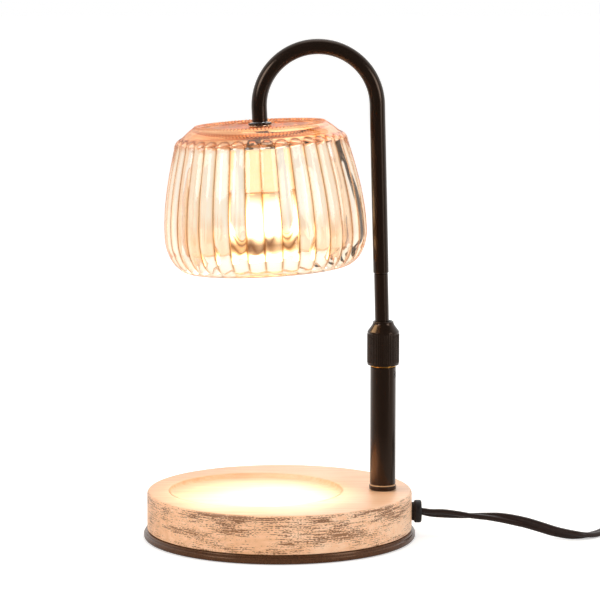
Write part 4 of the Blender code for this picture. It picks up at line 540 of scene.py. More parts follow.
# %% [markdown]
# ## Stain on the side
# The side was dry-brushed with a thin brown stain that caught only in the pores and lathe marks,
# which leaves short dark dashes that run round the disc, densest near the top edge. So their
# noise is laid out in millimetres round the side and up it. The stain is kept to the side by
# each point's distance from the disc's axis.

# %% Stain lines
LINE_LENGTH_MM, LINE_HEIGHT_MM = 11.0, 0.55
FLECK_MM = 1.3
PATCH_LENGTH_MM, PATCH_HEIGHT_MM = 34.0, 8.0
FLECK_SHARE = 0.48
PATCH_WEIGHT = 0.55
LOW_SHARE, TOP_SHARE = -0.010, 0.070
BACK_SHARE = -0.03

axes = node(tree, "SeparateXYZ", {"Vector": where}).outputs
turn = node(tree, "Math", {0: axes["Y"], 1: axes["X"]}, operation="ARCTAN2")
round_mm = node(tree, "Math", {0: turn, 1: WOOD_RADIUS}, operation="MULTIPLY")
height_mm = node(tree, "Math", {0: axes["Z"], 1: 1000.0}, operation="MULTIPLY")


def round_side(length_mm, rise_mm, detail):
    """A noise that runs round the side, with one cell per length and per rise."""
    u = node(tree, "Math", {0: round_mm, 1: length_mm}, operation="DIVIDE")
    v = node(tree, "Math", {0: height_mm, 1: rise_mm}, operation="DIVIDE")
    place = node(tree, "CombineXYZ", {"X": u, "Y": v})
    return node(tree, "TexNoise", {"Vector": place, "Scale": 1.0, "Detail": detail})


lines = round_side(LINE_LENGTH_MM, LINE_HEIGHT_MM, 2.0)
flecks = round_side(FLECK_MM, LINE_HEIGHT_MM, 2.0)
patches = round_side(PATCH_LENGTH_MM, PATCH_HEIGHT_MM, 3.0)
amount = node(tree, "Mix", {0: FLECK_SHARE, "A": lines, "B": flecks}, data_type="FLOAT")
rising = node(tree, "MapRange", {"Value": height_mm, "From Min": WOOD_BOTTOM, "From Max": WOOD_TOP,
                                 "To Min": LOW_SHARE, "To Max": TOP_SHARE})
patchy = node(tree, "Math", {0: patches, 1: PATCH_WEIGHT}, operation="MULTIPLY")
to_back = node(tree, "Math", {0: turn}, operation="SINE")
to_back = node(tree, "Math", {0: to_back, 1: BACK_SHARE}, operation="MULTIPLY")
for more in (rising, patchy, to_back):
    amount = node(tree, "Math", {0: amount, 1: more}, operation="ADD")
print("stain lines of", LINE_LENGTH_MM, "x", LINE_HEIGHT_MM, "mm, broken by flecks of", FLECK_MM)

# %% Where the stain sits
STAIN_START, STAIN_FULL = 0.835, 0.905
STAIN_COVER = 0.90
SIDE_START, SIDE_FULL = 73.8, 74.9
PORE_RELIEF = (0.16, 0.55)  # height in mm and strength

stain = node(tree, "MapRange", {"Value": amount, "From Min": STAIN_START, "From Max": STAIN_FULL})
flat = node(tree, "Mapping", {"Vector": where, "Scale": (1, 1, 0)})
from_axis = node(tree, "VectorMath", {0: flat}, operation="LENGTH")
on_side = node(tree, "MapRange", {"Value": from_axis, "From Min": SIDE_START * MM,
                                  "From Max": SIDE_FULL * MM})
mask = node(tree, "Math", {0: stain, 1: on_side}, operation="MULTIPLY")
mask = node(tree, "Math", {0: mask, 1: STAIN_COVER}, operation="MULTIPLY")
brown = node(tree, "ValToRGB", {"Fac": patches}, ((0.35, "52301A"), (0.65, "86552C")))
pores = node(tree, "Math", {0: grain, 1: mask}, operation="SUBTRACT")
wire(tree, shader, {
    "Base Color": node(tree, "Mix", {0: mask, "A": clean, "B": brown}, data_type="RGBA"),
    "Normal": node(tree, "Bump", {"Height": pores, "Distance": PORE_RELIEF[0] * MM,
                                  "Strength": PORE_RELIEF[1]})})
print("stain from", SIDE_START, "mm off the axis, covering up to", STAIN_COVER)

# %% [markdown]
# ## The disc and its seat
# The seat could be cut out of a lathe shape with a boolean, but that leaves long thin faces and a
# sharp lip. Here the rings of the skin slide off centre on the top face instead, so that the seat
# needs no boolean and keeps a clean rounded lip.

# %% Wood disc
WOOD_ROUNDING = 1.6
RECESS_CENTRE = -13.4
RECESS_RADIUS = 49.0
RECESS_DEPTH = 2.6
LIP_ROUNDING = 1.2
RECESS_ROUNDING = 2.4
WOOD_STEPS = 240


def circle(radius, height, centre=0.0, steps=WOOD_STEPS):
    """A ring of points in metres about a centre on the X axis."""
    angles = np.linspace(0, 2 * math.pi, steps, endpoint=False)
    x, y = centre + radius * np.cos(angles), radius * np.sin(angles)
    return np.stack([x, y, np.full(steps, float(height))], 1) * MM


edge = bend((WOOD_RADIUS - WOOD_ROUNDING, WOOD_TOP - WOOD_ROUNDING), WOOD_ROUNDING, 0, 90, 6)
lip = bend((RECESS_RADIUS + LIP_ROUNDING, WOOD_TOP - LIP_ROUNDING), LIP_ROUNDING, 90, 180, 4)
floor_height = WOOD_TOP - RECESS_DEPTH
fillet = bend((RECESS_RADIUS - RECESS_ROUNDING, floor_height + RECESS_ROUNDING),
              RECESS_ROUNDING, 0, -90, 5)
rings = [circle(1.0, WOOD_BOTTOM), circle(WOOD_RADIUS - 0.4, WOOD_BOTTOM),
         circle(WOOD_RADIUS, WOOD_BOTTOM + 0.4)]
rings += [circle(WOOD_RADIUS, WOOD_BOTTOM + rise) for rise in (6.0, 12.0)]
rings += [circle(r, z) for r, z in edge]
outer_radius, inner_radius = edge[-1][0], lip[0][0]
for share in (0.25, 0.5, 0.75):
    radius = outer_radius + (inner_radius - outer_radius) * share
    rings.append(circle(radius, WOOD_TOP, RECESS_CENTRE * share))
rings += [circle(r, z, RECESS_CENTRE) for r, z in lip + fillet]
rings += [circle(r, floor_height, RECESS_CENTRE) for r in (30.0, 12.0, 1.0)]
show("turned_wood_disc", skin(rings), wood_finish, "base", "wood", "wood_base")
print("seat for a jar:", 2 * RECESS_RADIUS, "mm across and", RECESS_DEPTH, "mm deep")

# %% [markdown]
# ## Steel plate and pad
# Under the wood sits a spun steel plate with a rolled lip, a little wider than the wood, in dark
# brown powder coat. The coat is baked from a powder, so it is glossy but never quite flat, and
# its gloss breaks up into fine grit. A thin foam pad is let into the plate's underside, so that
# it doesn't scratch the table. The grit and the foam's cells are under half a millimetre in real
# life, and are drawn a little coarser so that they show.

# %% Plate
COAT_GRIT_MM = 0.7

# The warm specular tint is a painted warm reflection: it colours the mirrored studio warm on the
# dark coat.
plate_finish, tree, shader = new_finish(
    "textured_powder_coat", Base_Color="4A2E1F", Roughness=0.22, IOR=1.5, Specular_IOR_Level=0.45,
    Specular_Tint="FFD0AC")
where = node(tree, "TexCoord").outputs["Object"]
grit = node(tree, "TexNoise", {"Vector": where, "Scale": 1000 / COAT_GRIT_MM, "Detail": 2.0})
lay_in(tree, shader, grit, ((0.35, "402719"), (0.65, "573825")), (0.06, 0.6))


def turned_piece(name, outline, finish, body, slot, *nodes, steps=96, place=None, wrap=True,
                 reshape=None):
    """A turned piece from its outline, closed on itself round a bore or filled at its ends."""
    mesh = skin(lathe_rings(outline, steps, reshape), wrap=wrap, place=place)
    return show(name, mesh, finish, body, slot, *nodes)


plate_outline = [
    (1.0, 1.5), (68.3, 1.5), (68.3, 0.3), *bend((75.9, 1.4), 1.1, -90, 0, 4),
    *bend((75.9, 2.5), 1.1, 0, 88, 5), *bend((75.5, 4.5), 0.3, 0, 90, 2), (1.0, 4.8)]
turned_piece("spun_plate", plate_outline, plate_finish, "base", "black_plate", "base_plate",
             steps=WOOD_STEPS, wrap=False)

# %% Pad
FOAM_CELL_MM = 1.2

foam_finish, tree, shader = new_finish("black_foam", Base_Color="232120", Roughness=0.9)
where = node(tree, "TexCoord").outputs["Object"]
cells = node(tree, "TexVoronoi", {"Vector": where, "Scale": 1000 / FOAM_CELL_MM})
lay_in(tree, shader, cells, ((0.1, "161514"), (0.7, "2B2928")), (0.25, 0.7))
pad_outline = [(1.0, 0.0), (67.6, 0.0), *bend((67.6, 0.4), 0.4, -60, 0, 2), (68.0, 1.2), (1.0, 1.2)]
turned_piece("foam_pad", pad_outline, foam_finish, "base", "pad", "base_pad", steps=120, wrap=False)

# %% [markdown]
# ## Satin black metal
# Post, collar and arm are drawn steel tube and turned brass in one satin black finish. Such a
# finish is black paint with a fine flow texture: dark with a soft sheen, in which a bright studio
# shows as pale upright bands. Its black is a little brown. Its sheen is tinted warm, which is a
# painted warm reflection of the lit wood and glass. Fine turning lines would be about 0.05 mm
# apart, too fine to show, so the flow texture is drawn as coarse as 0.8 mm.
# The ring at the post's foot has a painted highlight: a thin band of pale warm colour on its top
# edge, which stands in for the lit wood mirrored there.

# %% Black finish
FLOW_MM = 0.8
# Height and reach in mm of the painted highlight on the foot ring's top edge.
FOOT_GLINT_HEIGHT = 29.75
GLINT_FADE_REACH, GLINT_FULL_REACH = 0.4, 0.25


def black_lacquer(name, glint_at=None):
    """Satin black paint, with a painted highlight of pale warm colour along one thin edge at a
    height in mm.
    """
    # The warm specular tint is a painted warm reflection of the lit wood and glass.
    made, tree, shader = new_finish(name, Base_Color="160D09", Roughness=0.20, IOR=1.5,
                                    Specular_IOR_Level=0.45, Specular_Tint="FFDCC4")
    where = node(tree, "TexCoord").outputs["Object"]
    flow = node(tree, "TexNoise", {"Vector": where, "Scale": 1000 / FLOW_MM, "Detail": 3.0})
    lay_in(tree, shader, flow, ((0.3, "120A06"), (0.7, "1B110B")), (0.02, 0.5), (0.15, 0.25))
    if glint_at is None:
        return made
    # A band of pale warm colour at that height is a painted highlight, which stands in for the lit
    # wood mirrored on the edge.
    height = node(tree, "SeparateXYZ", {"Vector": where}).outputs["Z"]
    off = node(tree, "Math", {0: height, 1: glint_at * MM}, operation="SUBTRACT")
    off = node(tree, "Math", {0: off}, operation="ABSOLUTE")
    glint = node(tree, "MapRange", {"Value": off, "From Min": GLINT_FADE_REACH * MM,
                                   "From Max": GLINT_FULL_REACH * MM})
    paint = shader.inputs["Base Color"].links[0].from_socket
    glinted = node(tree, "Mix", {0: glint, "A": paint, "B": "C4956A"}, data_type="RGBA")
    wire(tree, shader, {"Base Color": glinted})
    return made


black_finish = black_lacquer("satin_black_lacquer")
black_finish_with_glint = black_lacquer("satin_black_lacquer_painted_glint", glint_at=FOOT_GLINT_HEIGHT)
print("flow texture", FLOW_MM, "mm")

# %% [markdown]
# ## Brass and steel
# The bush under the collar and the plug's blades are bare metal. A lathe leaves fine lines round
# the axis, which the eye reads as bands of tone and gloss. They are about 0.05 mm apart in real
# life, and are drawn at 0.35 mm so that they show.

# %% Brass and steel
TURNING_MM = 0.35
LINE_SPREAD = 60


def turned_metal(name, dark, light, roughness):
    """A bare metal with fine lines round its axis."""
    made, tree, shader = new_finish(name, Metallic=1.0, Roughness=roughness)
    where = node(tree, "TexCoord").outputs["Object"]
    squash = node(tree, "Mapping", {"Vector": where,
                                    "Scale": (LINE_SPREAD, LINE_SPREAD, 1000 / TURNING_MM)})
    lines = node(tree, "TexNoise", {"Vector": squash, "Scale": 1.0, "Detail": 2.0})
    lay_in(tree, shader, lines, ((0.35, dark), (0.65, light)), (0.01, 0.4),
           (roughness - 0.06, roughness + 0.08))
    return made


brass_finish = turned_metal("turned_brass", "AE7430", "D29A4C", 0.24)
steel_finish = turned_metal("zinc_plated_steel", "A9ACAE", "C6C9CB", 0.30)
print("turning lines", TURNING_MM, "mm apart")

# %% [markdown]
# ## Post
# The post is a drawn tube that stands in a turned foot ring. Near its top a small hole shows the
# grub screw that holds the threaded bush, and the bush's bright edge shows under the collar. All
# three are turned outlines, and the hole is a dent that is pushed into the rings.

# %% Post
POST_X = 58.5
TUBE_RADIUS = 7.25
GRUB_HEIGHT = 93.1
GRUB_TURN = math.radians(-25)
GRUB_RADIUS = 1.6
GRUB_SEAT = 6.75
at_post = Matrix.Translation((POST_X * MM, 0, 0))

foot_outline = [
    (5.2, 29.9), (7.05, 29.9), (7.5, 29.5), *bend((7.3, 29.1), 0.4, 20, 0, 2),
    *bend((7.2, 27.5), 0.5, 0, -90, 4), (5.2, 27.0)]
turned_piece("post_foot_ring", foot_outline, black_finish_with_glint, "base", "black_metal", "post_foot",
             place=at_post)


def grub_hole(radii, heights, angles):
    """A small round hole near the top, where the grub screw that holds the bush is seen."""
    across = (np.mod(angles - GRUB_TURN + math.pi, 2 * math.pi) - math.pi) * TUBE_RADIUS
    inside = (np.hypot(across, heights - GRUB_HEIGHT) < GRUB_RADIUS) & (radii > 7.0)
    return np.where(inside, GRUB_SEAT, radii), heights


tube_outline = [(6.65, 30.2), *bend((7.0, 30.45), 0.25, -90, 0, 3), (TUBE_RADIUS, 60.0)]
tube_outline += [(TUBE_RADIUS, height) for height in np.arange(91.0, 95.3, 0.3)]
tube_outline += [(TUBE_RADIUS, 96.85), *bend((7.0, 96.95), 0.25, 0, 90, 3), (6.65, 97.2)]
turned_piece("post_barrel", tube_outline, black_finish, "base", "black_metal", "post_tube",
             steps=144, place=at_post, reshape=grub_hole)
bush_outline = [
    (4.95, 86.3), (6.35, 86.3), (6.35, 97.4), (6.6, 97.5), *bend((7.15, 97.65), 0.15, -90, 0, 3),
    *bend((7.15, 97.85), 0.15, 0, 90, 3), (6.5, 98.0), (6.5, 110.8), (4.48, 110.8), (4.48, 108.8),
    (4.95, 108.8)]
turned_piece("collar_seat", bush_outline, brass_finish, "base", "steel", "collar_bush",
             place=at_post)

# %% [markdown]
# ## Slack lead in the post
# A thin lead comes up through the post to the arm. It has slack in the post, so that the arm can
# slide, and folds together there when the arm goes down. The straight part below stays put, and
# the slack part is a piece of its own, with its own copy of the mesh.

# %% Slack lead
LEAD_RADIUS = 1.4
SLACK_ANCHOR = (0.0585, 0, 0.0356)
FEED_ROUTE = (
    (0.0458, -0.0044, 0.0087, 0), (0.0490, -0.0037, 0.0087, 0), (0.0535, -0.0020, 0.0091, 0),
    (0.0572, -0.0005, 0.0122, 0), (0.0585, 0, 0.0170, 0), (0.0585, 0, 0.0262, 0),
    SLACK_ANCHOR + (0,))
SLACK_ROUTE = (
    SLACK_ANCHOR + (0,), (0.0566, 0, 0.0443, 0), (0.0604, 0, 0.0529, 0), (0.0593, 0, 0.0612, 0))

lead_section = np.array(bend((0, 0), LEAD_RADIUS, 0, 345, 23))
show("post_feed_lead", sweep(smooth_route(FEED_ROUTE, ROUTE_STEP), lead_section), cord_finish,
     "base", "cord_vinyl")
slack = show("post_slack_lead", sweep(smooth_route(SLACK_ROUTE, ROUTE_STEP), lead_section),
             cord_finish, "base", "cord_vinyl", "post_lead")
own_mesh(slack)

# %% [markdown]
# ## Lock collar
# The knurled collar pinches the arm in a slit collet, as a pencil vice does. Its grip is a fine
# straight knurl, rolled in with fifty-two teeth, between two narrow plain ends, and it closes
# in a cone onto the arm. The teeth are cut in the mesh, since their outline shows at the sides.

# %% Collar
KNURL_TEETH = 52
KNURL_DEPTH = 0.30
KNURL_BAND = (1.5, 17.7)
COLLAR_RADIUS = 9.1
at_collar = Matrix.Translation((POST_X * MM, 0, 98.3 * MM))


def knurl(radii, heights, angles):
    """Push every other column of the grip inwards, for straight teeth."""
    in_band = (heights > KNURL_BAND[0]) & (heights < KNURL_BAND[1]) & (radii > 8.5)
    wave = 0.5 - 0.5 * np.cos(angles * KNURL_TEETH)
    return radii - np.where(in_band, KNURL_DEPTH * wave, 0.0), heights


collar_outline = [
    (6.85, 0.0), (8.55, 0.0), *bend((8.55, 0.4), 0.4, -60, 0, 3), (8.95, 1.2),
    (COLLAR_RADIUS, 1.6), (COLLAR_RADIUS, 17.6), (8.95, 17.9), (8.95, 18.8),
    *bend((8.15, 18.8), 0.8, 10, 36, 3), (6.3, 22.7), (5.75, 24.1),
    *bend((5.45, 24.4), 0.4, 20, 90, 3), (5.0, 24.8), (5.0, 23.3), (6.85, 16.7)]
turned_piece("knurled_collar", collar_outline, black_finish, "collar", "black_metal",
             "lock_collar", steps=KNURL_TEETH * 6, place=at_collar, reshape=knurl)
print("knurl pitch in mm:", round(2 * math.pi * COLLAR_RADIUS / KNURL_TEETH, 2))

# %% [markdown]
# ## Bent arm
# The arm is two drawn tubes. A thinner tube slides and turns in the collar, and the tube above
# it is bent round a die into half a circle, with a short straight leg that carries the head. Its
# line is a straight, an arc and a straight, so the sweep follows those exactly.

# %% Sliding tube
ARM_PLACE = Vector((57.8, 0, 123.1)) * MM
ARM_LEAN = math.radians(1.45)
SLIDE_RADIUS = 3.95
at_arm = Matrix.Translation(ARM_PLACE) @ Matrix.Rotation(-ARM_LEAN, 4, "Y")

slide_outline = [
    (2.6, -61.6), (4.6, -61.6), (4.8, -61.4), (4.8, -58.3), (4.6, -58.1), (SLIDE_RADIUS, -58.1),
    (SLIDE_RADIUS, 26.7), (3.65, 27.0), (3.25, 27.0), (3.25, 39.0), (2.6, 39.0)]
turned_piece("slide_rod", slide_outline, black_finish, "arm", "black_metal", "slide_tube",
             steps=64, place=at_arm)

# %% Bent tube
ARM_RADIUS = 4.35
ARM_BORE = 3.55
SHOULDER_RISE = 27.3
BEND_RISE = 122.0
BEND_RADIUS = 32.95
BEND_SWEEP = math.radians(181.55)
LEG_LENGTH = 7.3


def arm_line():
    """Points and directions of the bent tube in the arm's own frame, in millimetres."""
    made = [((0, 0, SHOULDER_RISE + 0.35 * k), (0, 0, 1)) for k in (0, 1)]
    made += [((0, 0, rise), (0, 0, 1)) for rise in np.linspace(SHOULDER_RISE + 8, BEND_RISE, 12)]
    for angle in np.linspace(0, BEND_SWEEP, 73)[1:]:
        x = -BEND_RADIUS * (1 - math.cos(angle))
        z = BEND_RISE + BEND_RADIUS * math.sin(angle)
        made.append(((x, 0, z), (-math.sin(angle), 0, math.cos(angle))))
    (x, _, z), way = made[-1]
    for share in (0.5, 0.96, 1.0):
        along_leg = LEG_LENGTH * share
        made.append(((x + way[0] * along_leg, 0, z + way[2] * along_leg), way))
    return made


def tube_rings(line, radii, steps=48):
    """Rings of a tube whose line stays in the XZ plane."""
    rings = []
    side = Vector((0, 1, 0))
    angles = np.linspace(0, 2 * math.pi, steps, endpoint=False)
    for (place, way), radius in zip(line, radii):
        out = side.cross(Vector(way))
        rings.append([(Vector(place) + (out * math.cos(a) + side * math.sin(a)) * radius) * MM
                      for a in angles])
    return rings


line = arm_line()
outer_radii = [ARM_RADIUS - 0.3] + [ARM_RADIUS] * (len(line) - 2) + [ARM_RADIUS - 0.25]
rings = tube_rings(line, outer_radii) + tube_rings(line, [ARM_BORE] * len(line))[::-1]
show("bent_tube", skin(rings, wrap=True, place=at_arm), black_finish, "arm", "black_metal",
     "gooseneck_tube")
print("bend of", round(math.degrees(BEND_SWEEP), 1), "degrees at", BEND_RADIUS, "mm")

# %% [markdown]
# ## Pressed glass shade
# The shade is thick amber glass, pressed in a ribbed mould, with a flat top disc that ends in a
# beaded rim. Thirty-six ribs start at the shoulder in round heads and run down into the foot.
# The inside is gently fluted down to a clear band. The tint is weak where a ray crosses the wall
# squarely, and grows where the wall turns away from the eye. Fine brown lines in the valleys
# between the ribs, round the rib heads, between the rim's beads and in the flutes above their round
# ends are painted shade: dark reflections painted into the glass. So the mesh carries how much
# painted line each point has and where the glass is thick, at the top, and the glass takes its
# tint from that and from how it faces the eye.
#
# Some rays go straight on with a tint and don't bend. Light on its way to something else does,
# so the wood and the post below glow as they do in real life. Towards the outline most rays do,
# so that the shade's edge stays as clear as it is in life. So do rays that have been bent or
# mirrored three times already, which keeps the far wall from muddling the view.

# %% Glass finish
CLEAR_TINT = "FFF9EE"
GRAZING_TINT = "E49C5A"
PAINTED_LINE_SHADE = "74401A"
THICK_TINT = "E8965C"
THROUGH_TINT = "FFE2BC"
EDGE_TINT = "E2A06C"
EDGE_START, EDGE_FULL = 0.55, 0.9
EDGE_PLAIN = 0.7
WAVE_MM = 14.0
WAVE_RELIEF = (0.5, 0.5)  # height in mm and strength
DEEP_RAY = 2.5

glass_finish, tree, shader = new_finish(
    "pressed_amber_glass", Roughness=0.02, IOR=1.5, Transmission_Weight=1.0)
valley = node(tree, "Attribute", attribute_name="valley").outputs["Fac"]
bulk = node(tree, "Attribute", attribute_name="thick").outputs["Fac"]
facing = node(tree, "LayerWeight", {"Blend": 0.5}).outputs["Facing"]
body = node(tree, "ValToRGB", {"Fac": facing},
            ((0.0, CLEAR_TINT), (0.45, "FDE8CE"), (0.8, "F6C894"), (1.0, GRAZING_TINT)))
# Fine brown lines of painted shade: dark reflections painted into the rib valleys, round the rib
# heads, between the beads and in the flutes.
lines = node(tree, "ValToRGB", {"Fac": valley},
             ((0.0, "FFFFFF"), (0.3, "F6DCC2"), (0.7, "BC8454"), (1.0, PAINTED_LINE_SHADE)))
warm = node(tree, "ValToRGB", {"Fac": bulk}, ((0.0, "FFFFFF"), (1.0, THICK_TINT)))
tint = body
for more in (lines, warm):
    tint = node(tree, "Mix", {0: 1.0, "A": tint, "B": more}, data_type="RGBA",
                blend_type="MULTIPLY")
where = node(tree, "TexCoord").outputs["Object"]
waves = node(tree, "TexNoise", {"Vector": where, "Scale": 1000 / WAVE_MM, "Detail": 1.0})
wire(tree, shader, {
    "Base Color": tint,
    "Normal": node(tree, "Bump", {"Height": waves, "Distance": WAVE_RELIEF[0] * MM,
                                  "Strength": WAVE_RELIEF[1]})})
print("glass: waves", WAVE_MM, "mm long, straight rays from a depth of", math.ceil(DEEP_RAY))

# %% Rays that go straight through the glass
path = node(tree, "LightPath").outputs
deep = node(tree, "Math", {0: path["Ray Depth"], 1: DEEP_RAY}, operation="GREATER_THAN")
near = node(tree, "Math", {0: 1.0, 1: deep}, operation="SUBTRACT")
lamp_ray = node(tree, "Math", {0: path["Is Shadow Ray"], 1: path["Is Diffuse Ray"]},
                operation="MAXIMUM")
straight = node(tree, "MapRange", {"Value": facing, "From Min": EDGE_START,
                                   "From Max": EDGE_FULL, "To Max": EDGE_PLAIN})
for kind in (deep, lamp_ray):
    straight = node(tree, "Math", {0: straight, 1: kind}, operation="MAXIMUM")
edge = node(tree, "ValToRGB", {"Fac": facing}, ((0.3, "FFFEFC"), (0.6, "FDEBD8"), (1.0, EDGE_TINT)))
lined = node(tree, "Mix", {0: near, "A": edge, "B": lines}, data_type="RGBA",
             blend_type="MULTIPLY")
passing = node(tree, "Mix", {0: lamp_ray, "A": lined, "B": THROUGH_TINT}, data_type="RGBA")
through = node(tree, "BsdfTransparent", {"Color": passing})
wire(tree, tree.nodes["Material Output"], {
    "Surface": node(tree, "MixShader", {0: straight, 1: shader, 2: through})})
print("share of straight rays at the shade's edge:", EDGE_PLAIN)

# %% Glass outline
HEAD_PLACE = Vector((-10.749, 0, 235.213)) * MM
HEAD_LEAN = math.radians(3.0)
at_head = Matrix.Translation(HEAD_PLACE) @ Matrix.Rotation(-HEAD_LEAN, 4, "Y")
GLASS_TOP = -2.0
GLASS_WALL = 2.8
SHOULDER_RADIUS, SHOULDER_HEIGHT = 48.8, -10.6
BELLY_SWELL, BELLY_DROP = 8.0, 48.9
FOOT_CENTRE, BELLY_HEIGHT = 43.2, -59.5
FOOT_WIDTH, FOOT_DROP = 13.6, 20.7


def side_point(share, wall=0.0):
    """A point of the side, from the shoulder at 0 to the belly at 1."""
    radius = SHOULDER_RADIUS + BELLY_SWELL * math.sin(share * math.pi / 2)
    return radius - wall, SHOULDER_HEIGHT - BELLY_DROP * share


def foot_point(degrees, wall=0.0):
    """A point of the foot, a quarter of an ellipse from the belly in to the mouth."""
    angle = math.radians(degrees)
    return (FOOT_CENTRE + (FOOT_WIDTH - wall) * math.cos(angle),
            BELLY_HEIGHT - (FOOT_DROP - wall) * math.sin(angle))


print("shade across the belly in mm:", 2 * (SHOULDER_RADIUS + BELLY_SWELL))

# %% Ribs, beads and flutes
RIBS = 36
RIB_STEPS = 12
RIB_DEPTH = 1.2
RIBS_END = -80.2
HEAD_TOP = -4.9
HEAD_ROUND = 3.0
HEAD_SINK = 0.45
RIM_INSIDE, RIM_OUTSIDE = 34.6, 37.4
BEADS = 108
BEAD_DEPTH = 0.42
FLUTE_DEPTH = 0.45
FLUTE_END = -69.0
FLUTE_ROUND = 4.0


def ease(value):
    """0 below 0, 1 above 1 and a soft step between."""
    value = np.clip(value, 0.0, 1.0)
    return value * value * (3 - 2 * value)


def rib_places(heights, angles):
    """How near each point is to its rib's middle, and how far it lies below the rib's head."""
    wave = np.abs(np.sin(angles * RIBS / 2))
    aside = np.abs(2 * ((angles * RIBS / (2 * math.pi)) % 1) - 1)
    head = HEAD_TOP - HEAD_ROUND * (1 - np.sqrt(1 - np.minimum(aside, 0.97) ** 2))
    return wave, head - heights


def rim_beads(radii, heights, angles):
    """Which points are on the rim, and how near each angle is to the valley between two beads."""
    on_rim = (radii > RIM_INSIDE) & (radii < RIM_OUTSIDE) & (heights > 0.05)
    return on_rim, 0.5 - 0.5 * np.cos(angles * BEADS)


def flute_end(heights, wave):
    """How far above the round bottom of its flute each point lies."""
    return heights - FLUTE_END - FLUTE_ROUND * (1 - wave)


def outer_glass(radii, heights, angles):
    """Beads on the rim, a sunk shoulder, and ribs with round heads below it."""
    on_rim, bead = rim_beads(radii, heights, angles)
    wave, drop = rib_places(heights, angles)
    below = ease(drop / 0.9)
    sunk = HEAD_SINK * ease((-1.6 - heights) / 3.0)
    fade = np.clip((heights - RIBS_END) / 3.0, 0.0, 1.0)
    cut = (sunk * (1 - below) + RIB_DEPTH * (1 - wave) * below) * fade
    return radii - cut, heights - np.where(on_rim, BEAD_DEPTH * bead, 0.0) + GLASS_TOP


def inner_glass(radii, heights, angles):
    """Shallow flutes inside, which end in round bottoms above the clear band."""
    wave, _ = rib_places(heights, angles)
    start = ease((-16.0 - heights) / 5.0)
    end = ease(flute_end(heights, wave) / 1.6)
    return radii + FLUTE_DEPTH * wave * start * end, heights + GLASS_TOP


belly_round = 2 * math.pi * (SHOULDER_RADIUS + BELLY_SWELL)
print("rib pitch at the belly in mm:", round(belly_round / RIBS, 2))

# %% Glass skin
outer = [(5.6, -0.3), (5.9, 0.0), (15, 0), (25, 0), (33.9, 0), (34.5, 0.1), (34.9, 0.45),
         (35.3, 0.95), (35.8, 1.3), (36.3, 1.4), (36.7, 1.2), (37.1, 0.85)]
outer += [(37.1 + 9.7 * share, 0.85 - 7.35 * share) for share in np.linspace(0, 1, 19)[1:]]
outer += bend((43.6, -10.6), 5.2, 52, 0, 12)[1:]
outer += [side_point(share) for share in np.linspace(0, 1, 40)[1:]]
outer += [foot_point(angle) for angle in np.linspace(0, 85, 20)[1:]]
outer += [(43.7, -80.12), (43.1, -79.95), (42.7, -79.5), (42.62, -78.8), (42.76, -77.74)]
inner = [foot_point(angle, GLASS_WALL) for angle in np.linspace(78, 0, 16)]
inner += [side_point(share, GLASS_WALL) for share in np.linspace(1, 0, 32)[1:]]
inner += bend((43.6, -10.6), 2.4, 12, 50, 3) + [(40.7, -5.7), (35.9, -2.8), (20, -2.8), (5.6, -2.8)]

rings = lathe_rings(outer, RIBS * RIB_STEPS, outer_glass)
rings += lathe_rings(inner, RIBS * RIB_STEPS, inner_glass)
glass_mesh = skin(rings, wrap=True, place=at_head)
print("rings of the glass:", len(outer), "outside and", len(inner), "inside")

# %% Painted dark lines, and where the glass is thick
angles = np.linspace(0, 2 * math.pi, RIBS * RIB_STEPS, endpoint=False)
# For each point, its share of painted dark line, and how thick the glass is there.
painted_line_rings, bulks = [], []
for radius, height in outer:
    wave, drop = rib_places(np.full(len(angles), height), angles)
    fade = np.clip((height - RIBS_END) / 6.0, 0.0, 1.0)
    crest = np.exp(-((drop - 0.4) / 0.55) ** 2)
    dark = np.maximum((1 - wave) ** 4 * ease(drop / 0.9), crest) * fade
    on_rim, bead = rim_beads(radius, height, angles)
    painted_line_rings.append(np.clip(0.1 + 0.9 * bead if on_rim else dark, 0, 1))
    flat_top = radius < RIM_INSIDE and height > -0.5
    bulks.append(np.full(len(angles), 0.55 if flat_top else 1 - ease((-4.0 - height) / 9.0)))
for _, height in inner:
    wave, _ = rib_places(np.full(len(angles), height), angles)
    tongue = ease((-50.0 - height) / 10.0) * ease(flute_end(height, wave) / 2.0)
    painted_line_rings.append(0.34 * tongue * wave)
    bulks.append(np.zeros(len(angles)))


def tag(mesh, name, values):
    """Store one value for each point of a mesh, which its material reads by that name."""
    stored = mesh.attributes.new(name, "FLOAT", "POINT")
    stored.data.foreach_set("value", values.astype(np.float32))


tag(glass_mesh, "valley", np.concatenate(painted_line_rings))
tag(glass_mesh, "thick", np.concatenate(bulks))
show("ribbed_glass", glass_mesh, glass_finish, "arm", "amber_glass", "glass_shade")

# %% [markdown]
# ## Head fittings
# The glass hangs between a toothed black washer and a nut on a threaded steel nipple. Below it a
# bracket carries a white steatite lamp holder of the twist-and-lock kind. The holder is seen
# through the glass, so it keeps its rounded edges. Its soft glow is painted light: an even
# emission on the white ceramic that stands in for the light of the capsule burning right below it.

# %% Ceramic finish
PAINTED_CERAMIC_GLOW = 0.60
MOTTLE_MM = 3.0

# The emission is painted light, which stands in for the capsule's light falling on the white
# ceramic.
ceramic_finish, tree, shader = new_finish(
    "glazed_steatite", Base_Color="F1EDE4", Roughness=0.28, IOR=1.5, Emission_Color="FFF0DC",
    Emission_Strength=PAINTED_CERAMIC_GLOW)
where = node(tree, "TexCoord").outputs["Object"]
mottle = node(tree, "TexNoise", {"Vector": where, "Scale": 1000 / MOTTLE_MM, "Detail": 3.0})
lay_in(tree, shader, mottle, ((0.35, "EAE4D8"), (0.65, "F6F3EC")), (0.03, 0.4))
print("ceramic mottle", MOTTLE_MM, "mm, glow", PAINTED_CERAMIC_GLOW)

# %% Washer
TEETH = 12
TOOTH_DEPTH = 0.5


